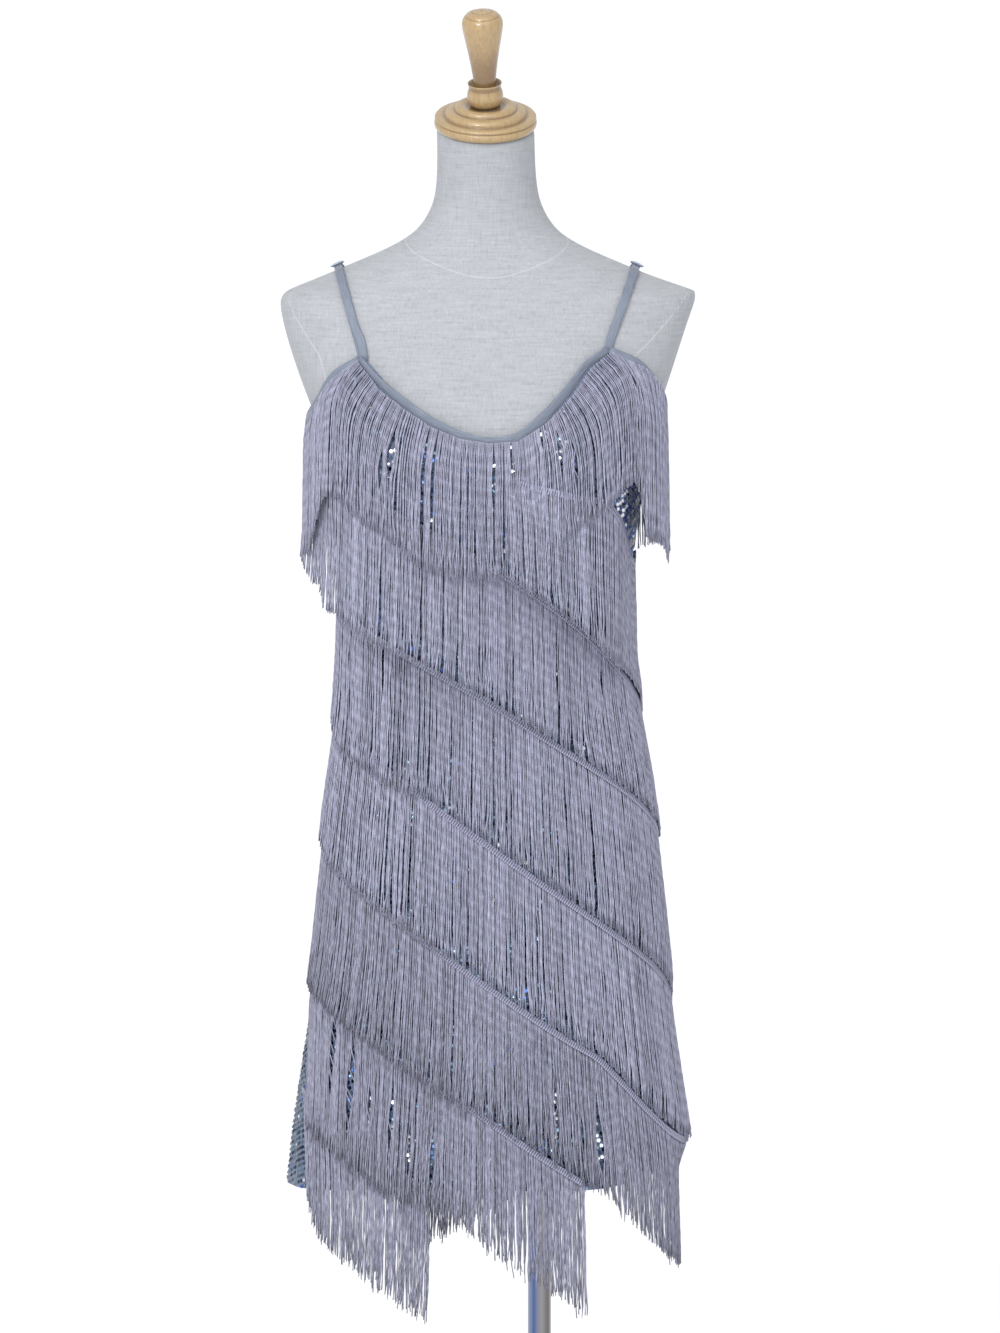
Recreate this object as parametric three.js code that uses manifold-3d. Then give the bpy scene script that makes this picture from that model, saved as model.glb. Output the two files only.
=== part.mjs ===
// Flapper dress on a limbless dress form. The dress is a sequined strap dress, sewn round with slanting
// rows of fringe that run down from left to right in front and carry on round the back. It hangs on a
// linen-covered form with a turned wooden neck cap, which a pole holds up on a round foot.
//
// Millimetres, +Z up. The front faces -Y, and left and right are the viewer's (left is -X). The origin
// is the middle of the foot's underside, under the pole. The body is drawn round its own upright axis,
// "body coordinates", and set on the stand last.

import * as THREE from 'three';
import Module from 'manifold-3d';
import { mergeVertices } from 'three/addons/utils/BufferGeometryUtils.js';

const wasm = await Module();
wasm.setup();

// ---------------------------------------------------------------------------------------------
// Driving dimensions

const BODY_X = -47; // the body's axis, seen from the pole
const CHEST_TILT = 0.032; // rise of the dress's right strap point, for each millimetre to the right
const TILT_HEIGHTS = { from: 1140, full: 1235, fades: 1250, ends: 1300 };
const COLUMNS = 40; // facets round the body
const PLAN_RATIO = 0.7; // depth to width of the oval that spaces the columns evenly

const SEAM_GAP = 0.3; // between pieces that meet at a seam
const PANEL_WALL = 1.5;
const PANEL_ROWS = 17;
const PANEL_ROW_SPREAD = 1.25; // rows lie closer together towards the top
const FORM_EASE = 2.2; // between the form and the dress, where it fits closely

const BINDING_WIDTH = 6.5;
const BINDING_WALL = 1.6;
const BINDING_LIFT = 0.4; // off the panel
const BINDING_OVER = 0.6; // past the panel's edge
const BINDING_GAP_TURN = 0.15; // degrees of turn between two bindings at a peak

const FRINGE_LENGTH = 130; // header tape and threads together
const FRINGE_WALL = 1.8;
const FRINGE_LIFT = 1.3; // off the panel at the header
const FRINGE_SWING = 3.2; // further off at the tips, over the next row's header
const FRINGE_ROWS = 4;
const TOP_FRINGE_WALL = 2;
const TOP_FRINGE_STEP = 2.5; // the top fringe clears the rows under it
const TOP_FRINGE_STEP_OVER = 12; // over this drop
const TOP_FRINGE_SWING = 2.9;
const TOP_FRINGE_ROWS = 6;

const STRAP_WIDTH = 8;
const STRAP_LAYER = 1;
const STRAP_LIFT = 0.9; // off the form
const STRAP_STEPS = 36;
const SLIDER = { width: 13, length: 10, bar: 1.8, thickness: 1.4, lift: 0.35 };

const TURNED_SEGMENTS = 26; // round the wooden pieces and the stand
const POLE_RADIUS = 11;
const POLE_FIT = 0.3;
const SOCKET_DEPTH = 70; // of the pole in the form
const FOOT = { radius: 150, edge: 5, height: 8, collarRadius: 19, collarHeight: 30, poleSeat: 10 };

// The form's level sections: half width, reach to the front and the back, and how square the oval is
// (2 is an ellipse). side and lead move a section's middle to the right and the back, and tilt leans
// the neck's rings forward, in degrees.
const FORM_SECTIONS = [
  { z: 690, half: 118, front: 78, back: 84, square: 2.2, side: 0, lead: 0, tilt: 0 },
  { z: 700, half: 128, front: 84, back: 92, square: 2.2, side: 0, lead: 0, tilt: 0 },
  { z: 735, half: 139, front: 92, back: 103, square: 2.2, side: 0, lead: 0, tilt: 0 },
  { z: 775, half: 144, front: 97, back: 109, square: 2.2, side: 0, lead: 0, tilt: 0 },
  { z: 820, half: 142, front: 97, back: 106, square: 2.2, side: 0, lead: 0, tilt: 0 },
  { z: 870, half: 131, front: 94, back: 96, square: 2.2, side: 0, lead: 0, tilt: 0 },
  { z: 916, half: 121, front: 92, back: 86, square: 2.2, side: -1, lead: 0, tilt: 0 },
  { z: 965, half: 116, front: 93, back: 80, square: 2.2, side: -3, lead: 0, tilt: 0 },
  { z: 1010, half: 119, front: 99, back: 81, square: 2.2, side: -3, lead: 0, tilt: 0 },
  { z: 1050, half: 126, front: 107, back: 84, square: 2.3, side: -3, lead: 0, tilt: 0 },
  { z: 1085, half: 134, front: 112, back: 88, square: 2.4, side: -3, lead: 0, tilt: 0 },
  { z: 1120, half: 141, front: 112.5, back: 92, square: 2.5, side: -3, lead: 0, tilt: 0 },
  { z: 1155, half: 149, front: 109.5, back: 95, square: 2.6, side: -2.5, lead: 0, tilt: 0 },
  { z: 1190, half: 161.5, front: 103, back: 97, square: 2.7, side: -2.3, lead: 0, tilt: 0 },
  { z: 1215, half: 170.5, front: 96, back: 96, square: 2.7, side: -2.3, lead: 0, tilt: 0 },
  { z: 1240, half: 179, front: 88, back: 93, square: 2.6, side: -2.3, lead: 0, tilt: 0 },
  { z: 1262, half: 186, front: 80, back: 88, square: 2.5, side: -2.3, lead: 0, tilt: 0 },
  { z: 1284, half: 193, front: 72, back: 81, square: 2.4, side: -1.5, lead: 0, tilt: 0 },
  { z: 1292, half: 190, front: 69, back: 78, square: 2.3, side: 0, lead: 0, tilt: 0 },
  { z: 1297, half: 177, front: 67, back: 76, square: 2.2, side: 0, lead: 0, tilt: 0 },
  { z: 1306, half: 152, front: 62, back: 71, square: 2.1, side: -2, lead: 0, tilt: 0 },
  { z: 1317, half: 126, front: 57, back: 66, square: 2.1, side: -2, lead: 0, tilt: 0 },
  { z: 1328, half: 99, front: 53, back: 61, square: 2, side: -2, lead: 0, tilt: 0 },
  { z: 1339, half: 77, front: 50, back: 56, square: 2, side: -2, lead: 0, tilt: 0 },
  { z: 1350, half: 61.5, front: 48.5, back: 52, square: 2, side: -2, lead: 0, tilt: 2 },
  { z: 1372, half: 48.5, front: 46, back: 47, square: 2, side: -2, lead: -2.5, tilt: 6 },
  { z: 1395, half: 45.3, front: 44.5, back: 44.5, square: 2, side: -2.3, lead: -6, tilt: 10 },
  { z: 1420, half: 44.6, front: 44, back: 44, square: 2, side: -2.8, lead: -11.5, tilt: 14 },
  { z: 1443.8, half: 44.5, front: 44, back: 44, square: 2, side: -3.2, lead: -17.2, tilt: 17 },
];

// The dress panels' outer face, in the same columns.
const DRESS_SECTIONS = [
  { z: 440, half: 190, front: 121, back: 123, square: 2.3, side: -1 },
  { z: 520, half: 181, front: 116, back: 120, square: 2.3, side: -1 },
  { z: 590, half: 171, front: 112, back: 118, square: 2.3, side: 0 },
  { z: 635, half: 165, front: 110, back: 118, square: 2.3, side: 1 },
  { z: 680, half: 161, front: 108, back: 118, square: 2.2, side: 1 },
  { z: 725, half: 158, front: 107, back: 117, square: 2.2, side: 1.5 },
  { z: 770, half: 153.5, front: 106.5, back: 115, square: 2.2, side: 1 },
  { z: 815, half: 150, front: 105, back: 111, square: 2.2, side: 0.5 },
  { z: 870, half: 143, front: 102, back: 103, square: 2.2, side: 0.5 },
  { z: 916, half: 137, front: 100, back: 95, square: 2.2, side: -2 },
  { z: 975, half: 133, front: 102, back: 89, square: 2.2, side: -4.5 },
  { z: 1040, half: 134, front: 111, back: 90, square: 2.3, side: -4 },
  { z: 1085, half: 140, front: 118.5, back: 93.5, square: 2.4, side: -3.5 },
  { z: 1120, half: 146, front: 120.5, back: 96, square: 2.5, side: -3 },
  { z: 1155, half: 155, front: 115, back: 98.5, square: 2.6, side: -3.5 },
  { z: 1185, half: 165, front: 107, back: 100, square: 2.7, side: -3.5 },
  { z: 1220, half: 173, front: 96.5, back: 98, square: 2.7, side: -2.3 },
  { z: 1250, half: 180, front: 84, back: 90, square: 2.6, side: -2.3 },
];

// The bust stands out on either side of the middle, by so many degrees of turn.
const BUST = { reach: 10, turn: 30, spread: 21, z: 1116, above: 60, below: 46 };

// The dress's edges. The top edge's peaks, where the straps start, are where two of its tables meet.
const NECK_EDGE = [
  { turn: 44, z: 1244 },
  { turn: 55, z: 1219.5 },
  { turn: 64, z: 1201.5 },
  { turn: 74, z: 1183.5 },
  { turn: 82, z: 1173 },
  { turn: 90, z: 1168 },
  { turn: 96, z: 1169 },
  { turn: 101, z: 1175 },
  { turn: 106, z: 1186 },
  { turn: 113, z: 1203 },
  { turn: 120, z: 1221 },
  { turn: 126, z: 1235 },
  { turn: 134, z: 1244.5 },
];
const LEFT_ARM_EDGE = [
  { turn: 0, z: 1180 },
  { turn: 12, z: 1182.5 },
  { turn: 25, z: 1194 },
  { turn: 29, z: 1206 },
  { turn: 34, z: 1222 },
  { turn: 39, z: 1237 },
  { turn: 44, z: 1244 },
];
const RIGHT_ARM_EDGE = [
  { turn: 134, z: 1244.5 },
  { turn: 138, z: 1239.5 },
  { turn: 144, z: 1229 },
  { turn: 149, z: 1215 },
  { turn: 157, z: 1201 },
  { turn: 167, z: 1187 },
  { turn: 180, z: 1180 },
];
const BACK_EDGE = [
  { turn: 180, z: 1180 },
  { turn: 225, z: 1177 },
  { turn: 270, z: 1175 },
  { turn: 315, z: 1177 },
  { turn: 360, z: 1180 },
];
const HEM = [
  { turn: 0, z: 457 },
  { turn: 35, z: 466 },
  { turn: 70, z: 476 },
  { turn: 125, z: 473 },
  { turn: 150, z: 484 },
  { turn: 180, z: 497 },
  { turn: 215, z: 480 },
  { turn: 270, z: 470 },
  { turn: 325, z: 462 },
  { turn: 360, z: 457 },
];

// The foot of the fringe that hangs from the top edge.
const TOP_FRINGE_FOOT = [
  { turn: 0, z: 1054 },
  { turn: 18, z: 1053 },
  { turn: 27, z: 1058 },
  { turn: 36, z: 1112 },
  { turn: 44, z: 1110 },
  { turn: 54, z: 1090 },
  { turn: 63, z: 1076 },
  { turn: 72, z: 1051 },
  { turn: 81, z: 1044 },
  { turn: 90, z: 1041 },
  { turn: 99, z: 1043 },
  { turn: 108, z: 1066 },
  { turn: 117, z: 1090 },
  { turn: 126, z: 1106 },
  { turn: 134, z: 1120 },
  { turn: 144, z: 1067 },
  { turn: 153, z: 1042 },
  { turn: 180, z: 1040 },
  { turn: 270, z: 1045 },
  { turn: 360, z: 1054 },
];

// The rows of fringe: heights of the header tape at the left side, the middle and the right side, and
// the turns that it runs between. A row that runs into an edge ends there, so its height past that
// end is only its line drawn on. pull is how far the tape sags below its line near the right side.
const FRONT_ROWS = [
  { name: 'fringe_front_1', left: 1250, middle: 1148, right: 1053, from: 117, to: 180, pull: 45 },
  { name: 'fringe_front_2', left: 1164, middle: 1056, right: 905, from: 27, to: 180, pull: 0 },
  { name: 'fringe_front_3', left: 1012, middle: 929, right: 790, from: 0, to: 180, pull: 0 },
  { name: 'fringe_front_4', left: 907, middle: 797, right: 634, from: 0, to: 180, pull: 0 },
  { name: 'fringe_front_5', left: 779, middle: 666, right: 505, from: 0, to: 180, pull: 25 },
  { name: 'fringe_front_6', left: 655, middle: 543, right: 372, from: 0, to: 119, pull: 0 },
  { name: 'fringe_front_7', left: 562, middle: 438, right: 300, from: 18, to: 72, pull: 0 },
];
const BACK_ROWS = [
  { name: 'fringe_back_1', left: 1012, middle: 1148, right: 1280, from: 279, to: 360, pull: 0 },
  { name: 'fringe_back_2', left: 907, middle: 1034, right: 1160, from: 207, to: 360, pull: 0 },
  { name: 'fringe_back_3', left: 779, middle: 912, right: 1053, from: 180, to: 360, pull: 0 },
  { name: 'fringe_back_4', left: 655, middle: 784, right: 905, from: 180, to: 360, pull: 0 },
  { name: 'fringe_back_5', left: 562, middle: 668, right: 790, from: 180, to: 342, pull: 0 },
  { name: 'fringe_back_6', left: 410, middle: 530, right: 634, from: 180, to: 295, pull: 0 },
];
const RIGHT_STRAIGHTNESS = 0.8; // how evenly the front rows fall round the right side
const BACK_STRAIGHTNESS = 0.6;
const PULL_FROM = 128; // turn

// Each strap runs over the shoulder in an upright plane, turned round a point inside the form.
const STRAP_PIVOT = { y: 5, z: 1215 };
const STRAP_ANGLES = { front: 19.85, ridge: 88, slider: 97, back: 202.4 };
const STRAP_SIDES = {
  left: { side: -1, frontX: 115, ridgeX: 140, backX: 105 },
  right: { side: 1, frontX: 108, ridgeX: 136, backX: 105 },
};

// Turned profiles, radius and height above the piece's own seat.
const CAP_PROFILE = [
  { radius: 0, height: 0 },
  { radius: 44.5, height: 0 },
  { radius: 46.2, height: 1 },
  { radius: 47, height: 3.5 },
  { radius: 47, height: 6 },
  { radius: 46.2, height: 8.1 },
  { radius: 45.4, height: 8.6 },
  { radius: 45.7, height: 9.3 },
  { radius: 43, height: 11.4 },
  { radius: 39, height: 12 },
  { radius: 36.9, height: 11.3 },
  { radius: 36.5, height: 13 },
  { radius: 34.8, height: 15.8 },
  { radius: 31.5, height: 17.5 },
  { radius: 28, height: 17.8 },
  { radius: 27.5, height: 19.6 },
  { radius: 25.6, height: 21.3 },
  { radius: 22.4, height: 21.7 },
  { radius: 18.5, height: 20.9 },
  { radius: 16.5, height: 20.1 },
  { radius: 0, height: 20.1 },
];
const KNOB_LEAN = 2; // degrees to the left, in its seat
const KNOB_BALL = { radius: 16.3, centre: 9.7, neckRadius: 10.2 };
const KNOB_GRIP = [
  { radius: 10.3, height: 26 },
  { radius: 12.6, height: 42 },
  { radius: 15.6, height: 58 },
  { radius: 18.3, height: 71 },
  { radius: 19, height: 77 },
  { radius: 18.3, height: 82.5 },
  { radius: 15.2, height: 87.2 },
  { radius: 14, height: 87.6 },
  { radius: 8, height: 90.4 },
  { radius: 0, height: 91.2 },
];

// ---------------------------------------------------------------------------------------------
// Materials

function finish(color, roughness, metalness = 0) {
  return new THREE.MeshStandardMaterial({ color, roughness, metalness });
}

const SEQUIN_NET = finish('#5d6478', 0.4);
const FRINGE = finish('#8f8ca2', 0.65);
const SATIN_ELASTIC = finish('#8b97a8', 0.45);
const LINEN = finish('#c6cacf', 0.9);
const WOOD = finish('#cdb083', 0.35);
const CHROME = finish('#b9c0c8', 0.15, 1);
const CLEAR_PLASTIC = finish('#c7ced6', 0.25);
const FOOT_STEEL = finish('#a9aeb4', 0.35, 1);

// ---------------------------------------------------------------------------------------------
// Curves and sections

const clamp = THREE.MathUtils.clamp;
const radians = THREE.MathUtils.degToRad;
const smoothstep = THREE.MathUtils.smoothstep;

// A smooth curve through a table's rows: the value of one column where the place column has a value.
function valueAt(table, place, key, where) {
  const last = table.length - 1;
  let row = 0;
  while (row < last - 1 && where > table[row + 1][place]) {
    row += 1;
  }
  const slope = (index) => {
    const low = table[Math.max(index - 1, 0)];
    const high = table[Math.min(index + 1, last)];
    return (high[key] - low[key]) / (high[place] - low[place]);
  };
  const start = table[row];
  const end = table[row + 1];
  const span = end[place] - start[place];
  const t = clamp((where - start[place]) / span, 0, 1);
  return (
    start[key] * (1 + 2 * t) * (1 - t) ** 2 +
    end[key] * t * t * (3 - 2 * t) +
    slope(row) * span * t * (1 - t) ** 2 -
    slope(row + 1) * span * t * t * (1 - t)
  );
}

// The turns of the columns that all pieces share. The column nearest each peak stands on it.
const LEFT_PEAK = NECK_EDGE[0].turn;
const RIGHT_PEAK = RIGHT_ARM_EDGE[0].turn;

function columnTurns() {
  const step = 360 / COLUMNS;
  const turns = Array.from({ length: COLUMNS }, (_, column) => column * step);
  for (const peak of [LEFT_PEAK, RIGHT_PEAK]) {
    turns[Math.round(peak / step)] = peak;
  }
  return turns;
}

// Turn goes round the body in degrees: 0 is the left side, 90 the front, 180 the right, 270 the back.
function direction(turn) {
  const angle = Math.atan2(PLAN_RATIO * Math.sin(radians(turn)), Math.cos(radians(turn)));
  return { x: -Math.cos(angle), y: -Math.sin(angle) };
}

function ovalReach(section, toward) {
  const depth = toward.y < 0 ? section.front : section.back;
  const across = (Math.abs(toward.x) / section.half) ** section.square;
  const along = (Math.abs(toward.y) / depth) ** section.square;
  return (across + along) ** (-1 / section.square);
}

function bustReach(turn, z) {
  const off = (Math.abs(turn - 90) - BUST.turn) / BUST.spread;
  const up = (z - BUST.z) / (z > BUST.z ? BUST.above : BUST.below);
  return turn < 180 ? BUST.reach * Math.exp(-off * off - up * up) : 0;
}

// The distance from the body's axis to a section's edge.
function sectionReach(section, turn) {
  const toward = direction(turn);
  return ovalReach(section, toward) + section.side * toward.x + bustReach(turn, section.z);
}

// The distance from the axis to the form's facets, below the neck.
function formReach(turn, z) {
  const above = FORM_SECTIONS.findIndex((section) => section.z > z);
  if (above < 1) {
    return 0;
  }
  const high = FORM_SECTIONS[above];
  const low = FORM_SECTIONS[above - 1];
  const share = (z - low.z) / (high.z - low.z);
  return THREE.MathUtils.lerp(sectionReach(low, turn), sectionReach(high, turn), share);
}

// The distance from the axis to the panels' outer face: the dress's own cut, or the form inside it.
function cutReach(turn, z) {
  const section = { z };
  for (const key of ['half', 'front', 'back', 'square', 'side']) {
    section[key] = valueAt(DRESS_SECTIONS, 'z', key, z);
  }
  return Math.max(sectionReach(section, turn), formReach(turn, z) + FORM_EASE + PANEL_WALL);
}

// The panels' rows of points: the edge, the foot of its binding, and the rows from there to the hem.
function panelRowZ(turn, row) {
  if (row === 0) {
    return edgeZ(turn);
  }
  const share = ((row - 1) / (PANEL_ROWS - 1)) ** PANEL_ROW_SPREAD;
  return THREE.MathUtils.lerp(bindingFootZ(turn), hemZ(turn), share);
}

// One column of a wall: its points' heights and inner reach, moved out where what lies inside it would
// come through between two of them.
function wallColumn(turn, heights, innerReach, insideReach) {
  const step = 4;
  const column = heights.map((z) => ({ z, reach: innerReach(turn, z), push: 0 }));
  for (let row = 1; row < column.length; row += 1) {
    const high = column[row - 1];
    const low = column[row];
    for (let z = low.z; z < high.z; z += step) {
      const own = THREE.MathUtils.mapLinear(z, low.z, high.z, low.reach, high.reach);
      const short = insideReach(turn, z) + SEAM_GAP - own;
      low.push = Math.max(low.push, short);
      high.push = Math.max(high.push, short);
    }
  }
  return column.map(({ z, reach, push }) => ({ z, reach: reach + push }));
}

// A panel's own column of points, kept for the pieces that lie on it.
const panelColumns = new Map();

function panelColumn(turn) {
  if (!panelColumns.has(turn)) {
    const heights = Array.from({ length: PANEL_ROWS + 1 }, (_, row) => panelRowZ(turn, row));
    const inner = (at, z) => cutReach(at, z) - PANEL_WALL;
    panelColumns.set(turn, wallColumn(turn, heights, inner, formReach));
  }
  return panelColumns.get(turn);
}

// The distance from the axis to the panels' facets, and below the hem, to the hem. What lies on a panel
// starts here.
function panelReach(turn, height) {
  const column = panelColumn(turn);
  const z = Math.max(height, column[PANEL_ROWS].z);
  let row = 1;
  while (row < PANEL_ROWS && column[row].z > z) {
    row += 1;
  }
  const high = column[row - 1];
  const low = column[row];
  return THREE.MathUtils.mapLinear(z, low.z, high.z, low.reach, high.reach) + PANEL_WALL;
}

function edgeZ(turn) {
  const tables = [LEFT_ARM_EDGE, NECK_EDGE, RIGHT_ARM_EDGE, BACK_EDGE];
  return valueAt(tables.find((table) => turn <= table[table.length - 1].turn), 'turn', 'z', turn);
}

function hemZ(turn) {
  return valueAt(HEM, 'turn', 'z', turn);
}

// A strip along the top edge is this much taller than its width, where the edge slopes.
function edgeStretch(turn) {
  const step = 3;
  const low = clamp(turn - step, 0, 360);
  const high = clamp(turn + step, 0, 360);
  const run = cutReach(turn, edgeZ(turn)) * radians(high - low) * PLAN_RATIO;
  return Math.hypot(1, (edgeZ(high) - edgeZ(low)) / run);
}

function bindingFootZ(turn) {
  return edgeZ(turn) - BINDING_WIDTH * edgeStretch(turn);
}

// A row's header: straight in the front view to the left, and falling evenly with the turn elsewhere.
function headerZ(row, turn) {
  const off = turn < 180 ? turn - 90 : 270 - turn;
  const evenly = Math.abs(off) / 90;
  const straight = Math.sin(radians(Math.abs(off)));
  let share = straight;
  if (turn >= 180) {
    share = THREE.MathUtils.lerp(straight, evenly, BACK_STRAIGHTNESS);
  } else if (off > 0) {
    share = THREE.MathUtils.lerp(straight, evenly, RIGHT_STRAIGHTNESS);
  }
  const sag = row.pull * Math.sin(Math.PI * clamp((turn - PULL_FROM) / (180 - PULL_FROM), 0, 1));
  return THREE.MathUtils.lerp(row.middle, off < 0 ? row.left : row.right, share) - sag;
}

// Threads hang straight down from where they start, and slide out over whatever stands out further.
function hangReach(turn, fromZ, z) {
  const step = 8;
  let reach = panelReach(turn, z);
  for (let height = z + step; height < fromZ; height += step) {
    reach = Math.max(reach, panelReach(turn, height));
  }
  return Math.max(reach, panelReach(turn, fromZ));
}

// ---------------------------------------------------------------------------------------------
// Solids

function geometryFrom(points, triangles) {
  const geometry = new THREE.BufferGeometry();
  geometry.setAttribute('position', new THREE.Float32BufferAttribute(points.flat(), 3));
  geometry.setIndex(triangles);
  return geometry;
}

// How far out from the axis a diagonal of a four-sided facet lies, doubled.
function standsOut(from, to) {
  return Math.hypot(from[0] + to[0], from[1] + to[1]);
}

function splitQuad(a, b, c, d, alongAC) {
  return alongAC ? [a, b, c, a, c, d] : [a, b, d, b, c, d];
}

// A closed wall from two grids of points, rows from top to bottom and columns from left to right as
// seen from outside. Its facets fold outward, so that a wall clears the one inside it.
function wall(outer, inner) {
  const rows = outer.length;
  const columns = outer[0].length;
  const points = [...outer.flat(), ...inner.flat()];
  const triangles = [];
  const out = (row, column) => row * columns + column;
  const back = (row, column) => rows * columns + out(row, column);
  const quad = (a, b, c, d, alongAC) => triangles.push(...splitQuad(a, b, c, d, alongAC));
  for (let row = 0; row + 1 < rows; row += 1) {
    for (let column = 0; column + 1 < columns; column += 1) {
      const [a, b] = [inner[row][column], inner[row + 1][column]];
      const [c, d] = [inner[row + 1][column + 1], inner[row][column + 1]];
      const alongAC = standsOut(a, c) > standsOut(b, d);
      const next = column + 1;
      quad(out(row, column), out(row + 1, column), out(row + 1, next), out(row, next), alongAC);
      quad(back(row, column), back(row, next), back(row + 1, next), back(row + 1, column), alongAC);
    }
    quad(out(row, 0), back(row, 0), back(row + 1, 0), out(row + 1, 0));
    const end = columns - 1;
    quad(out(row, end), out(row + 1, end), back(row + 1, end), back(row, end));
  }
  for (let column = 0; column + 1 < columns; column += 1) {
    quad(out(0, column), out(0, column + 1), back(0, column + 1), back(0, column));
    const low = rows - 1;
    quad(out(low, column), back(low, column), back(low, column + 1), out(low, column + 1));
  }
  return geometryFrom(points, triangles);
}

// A closed solid through rings of points from bottom to top, each ring running on with the turn. Its
// facets fold inward.
function loft(rings) {
  const count = rings[0].length;
  const points = rings.flat();
  const triangles = [];
  rings.slice(1).forEach((ring, index) => {
    for (let column = 0; column < count; column += 1) {
      const next = (column + 1) % count;
      const low = index * count;
      const high = low + count;
      const [a, b, c, d] = [low + column, low + next, high + next, high + column];
      const alongAC = standsOut(points[a], points[c]) < standsOut(points[b], points[d]);
      triangles.push(...splitQuad(a, b, c, d, alongAC));
    }
  });
  for (const [start, flip] of [[0, true], [(rings.length - 1) * count, false]]) {
    for (let column = 1; column + 1 < count; column += 1) {
      const fan = [start, start + column, start + column + 1];
      triangles.push(...(flip ? fan.reverse() : fan));
    }
  }
  return geometryFrom(points, triangles);
}

function toManifold(geometry) {
  const bare = geometry.clone();
  bare.deleteAttribute('normal');
  bare.deleteAttribute('uv');
  const merged = mergeVertices(bare, 1e-4);
  const vertProperties = merged.attributes.position.array;
  const triVerts = Uint32Array.from(merged.index.array);
  return new wasm.Manifold(new wasm.Mesh({ numProp: 3, vertProperties, triVerts }));
}

function fromManifold(manifold) {
  const mesh = manifold.getMesh();
  const geometry = new THREE.BufferGeometry();
  geometry.setAttribute('position', new THREE.BufferAttribute(mesh.vertProperties, 3));
  geometry.setIndex(new THREE.BufferAttribute(mesh.triVerts, 1));
  return geometry;
}

// Sets a solid drawn in body coordinates on the stand, with the chest's tilt.
function placeOnStand(geometry) {
  const { from, full, fades, ends } = TILT_HEIGHTS;
  const position = geometry.attributes.position;
  for (let index = 0; index < position.count; index += 1) {
    const x = position.getX(index);
    const z = position.getZ(index);
    const rise = x * CHEST_TILT * (smoothstep(z, from, full) - smoothstep(z, fades, ends));
    position.setXYZ(index, x + BODY_X, position.getY(index), z + rise);
  }
  geometry.computeVertexNormals();
  return geometry;
}

const group = new THREE.Group();

function addMesh(name, geometry, material, parent = group) {
  const mesh = new THREE.Mesh(geometry, material);
  mesh.name = name;
  parent.add(mesh);
  return mesh;
}

// ---------------------------------------------------------------------------------------------
// Dress

// The columns of a piece between two turns: the shared columns, and the piece's own ends.
function turnsBetween(from, to) {
  return [from, ...columnTurns().filter((turn) => turn > from + 1 && turn < to - 1), to];
}

// A point at a reach from the axis. On a side seam it stands back by half the gap, to its own side.
function bodyPoint(turn, reach, z, isFront) {
  const toward = direction(turn);
  const seam = turn % 180 === 0 ? (isFront ? -SEAM_GAP / 2 : SEAM_GAP / 2) : 0;
  return [toward.x * reach, toward.y * reach + seam, z];
}

// A wall round the body from its columns of heights and inner reaches.
function bodyWall(turns, columns, thickness) {
  const isFront = turns[0] < 180;
  const grid = (extra) =>
    columns[0].map((_, row) =>
      turns.map((turn, index) => {
        const { z, reach } = columns[index][row];
        return bodyPoint(turn, reach + extra, z, isFront);
      }),
    );
  return placeOnStand(wall(grid(thickness), grid(0)));
}

// A wall that lies on a panel, in even rows from its top line to its bottom line.
function wallOnPanel(turns, rows, topZ, bottomZ, innerReach, thickness) {
  const columns = turns.map((turn) => {
    const line = (row) => THREE.MathUtils.lerp(topZ(turn), bottomZ(turn), row / rows);
    const heights = Array.from({ length: rows + 1 }, (_, row) => line(row));
    return wallColumn(turn, heights, innerReach, panelReach);
  });
  return bodyWall(turns, columns, thickness);
}

function addPanel(name, from, to) {
  const turns = turnsBetween(from, to);
  addMesh(name, bodyWall(turns, turns.map(panelColumn), PANEL_WALL), SEQUIN_NET);
}

function addBinding(name, from, to) {
  const turns = turnsBetween(from, to);
  const top = (turn) => edgeZ(turn) + BINDING_OVER;
  const inner = (turn, z) => panelReach(turn, z) + BINDING_LIFT;
  addMesh(name, wallOnPanel(turns, 1, top, bindingFootZ, inner, BINDING_WALL), SATIN_ELASTIC);
}

function addTopFringe(name, from, to) {
  const top = (turn) => bindingFootZ(turn) - SEAM_GAP;
  const bottom = (turn) => valueAt(TOP_FRINGE_FOOT, 'turn', 'z', turn);
  const inner = (turn, z) => {
    const fall = top(turn) - z;
    const step = TOP_FRINGE_STEP * smoothstep(fall, 0, TOP_FRINGE_STEP_OVER);
    return hangReach(turn, top(turn), z) + BINDING_LIFT + step + (TOP_FRINGE_SWING * fall) / FRINGE_LENGTH;
  };
  const turns = turnsBetween(from, to);
  addMesh(name, wallOnPanel(turns, TOP_FRINGE_ROWS, top, bottom, inner, TOP_FRINGE_WALL), FRINGE);
}

function addFringeRow(row) {
  const top = (turn) => headerZ(row, turn);
  const bottom = (turn) => top(turn) - FRINGE_LENGTH;
  const inner = (turn, z) => {
    const swing = (FRINGE_SWING * (top(turn) - z)) / FRINGE_LENGTH;
    return hangReach(turn, top(turn), z) + FRINGE_LIFT + swing;
  };
  const turns = turnsBetween(row.from, row.to);
  addMesh(row.name, wallOnPanel(turns, FRINGE_ROWS, top, bottom, inner, FRINGE_WALL), FRINGE);
}

// ---------------------------------------------------------------------------------------------
// Form

function formRing(section) {
  const tilt = radians(section.tilt);
  return columnTurns().map((turn) => {
    const toward = direction(turn);
    const reach = ovalReach(section, toward) + bustReach(turn, section.z);
    const y = toward.y * reach;
    return [
      section.side + toward.x * reach,
      section.lead + y * Math.cos(tilt),
      section.z + y * Math.sin(tilt),
    ];
  });
}

function poleTopZ() {
  return FORM_SECTIONS[0].z + SOCKET_DEPTH;
}

// The form in body coordinates, before the socket is cut.
const formGeometry = loft(FORM_SECTIONS.map(formRing));
formGeometry.computeVertexNormals();

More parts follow.
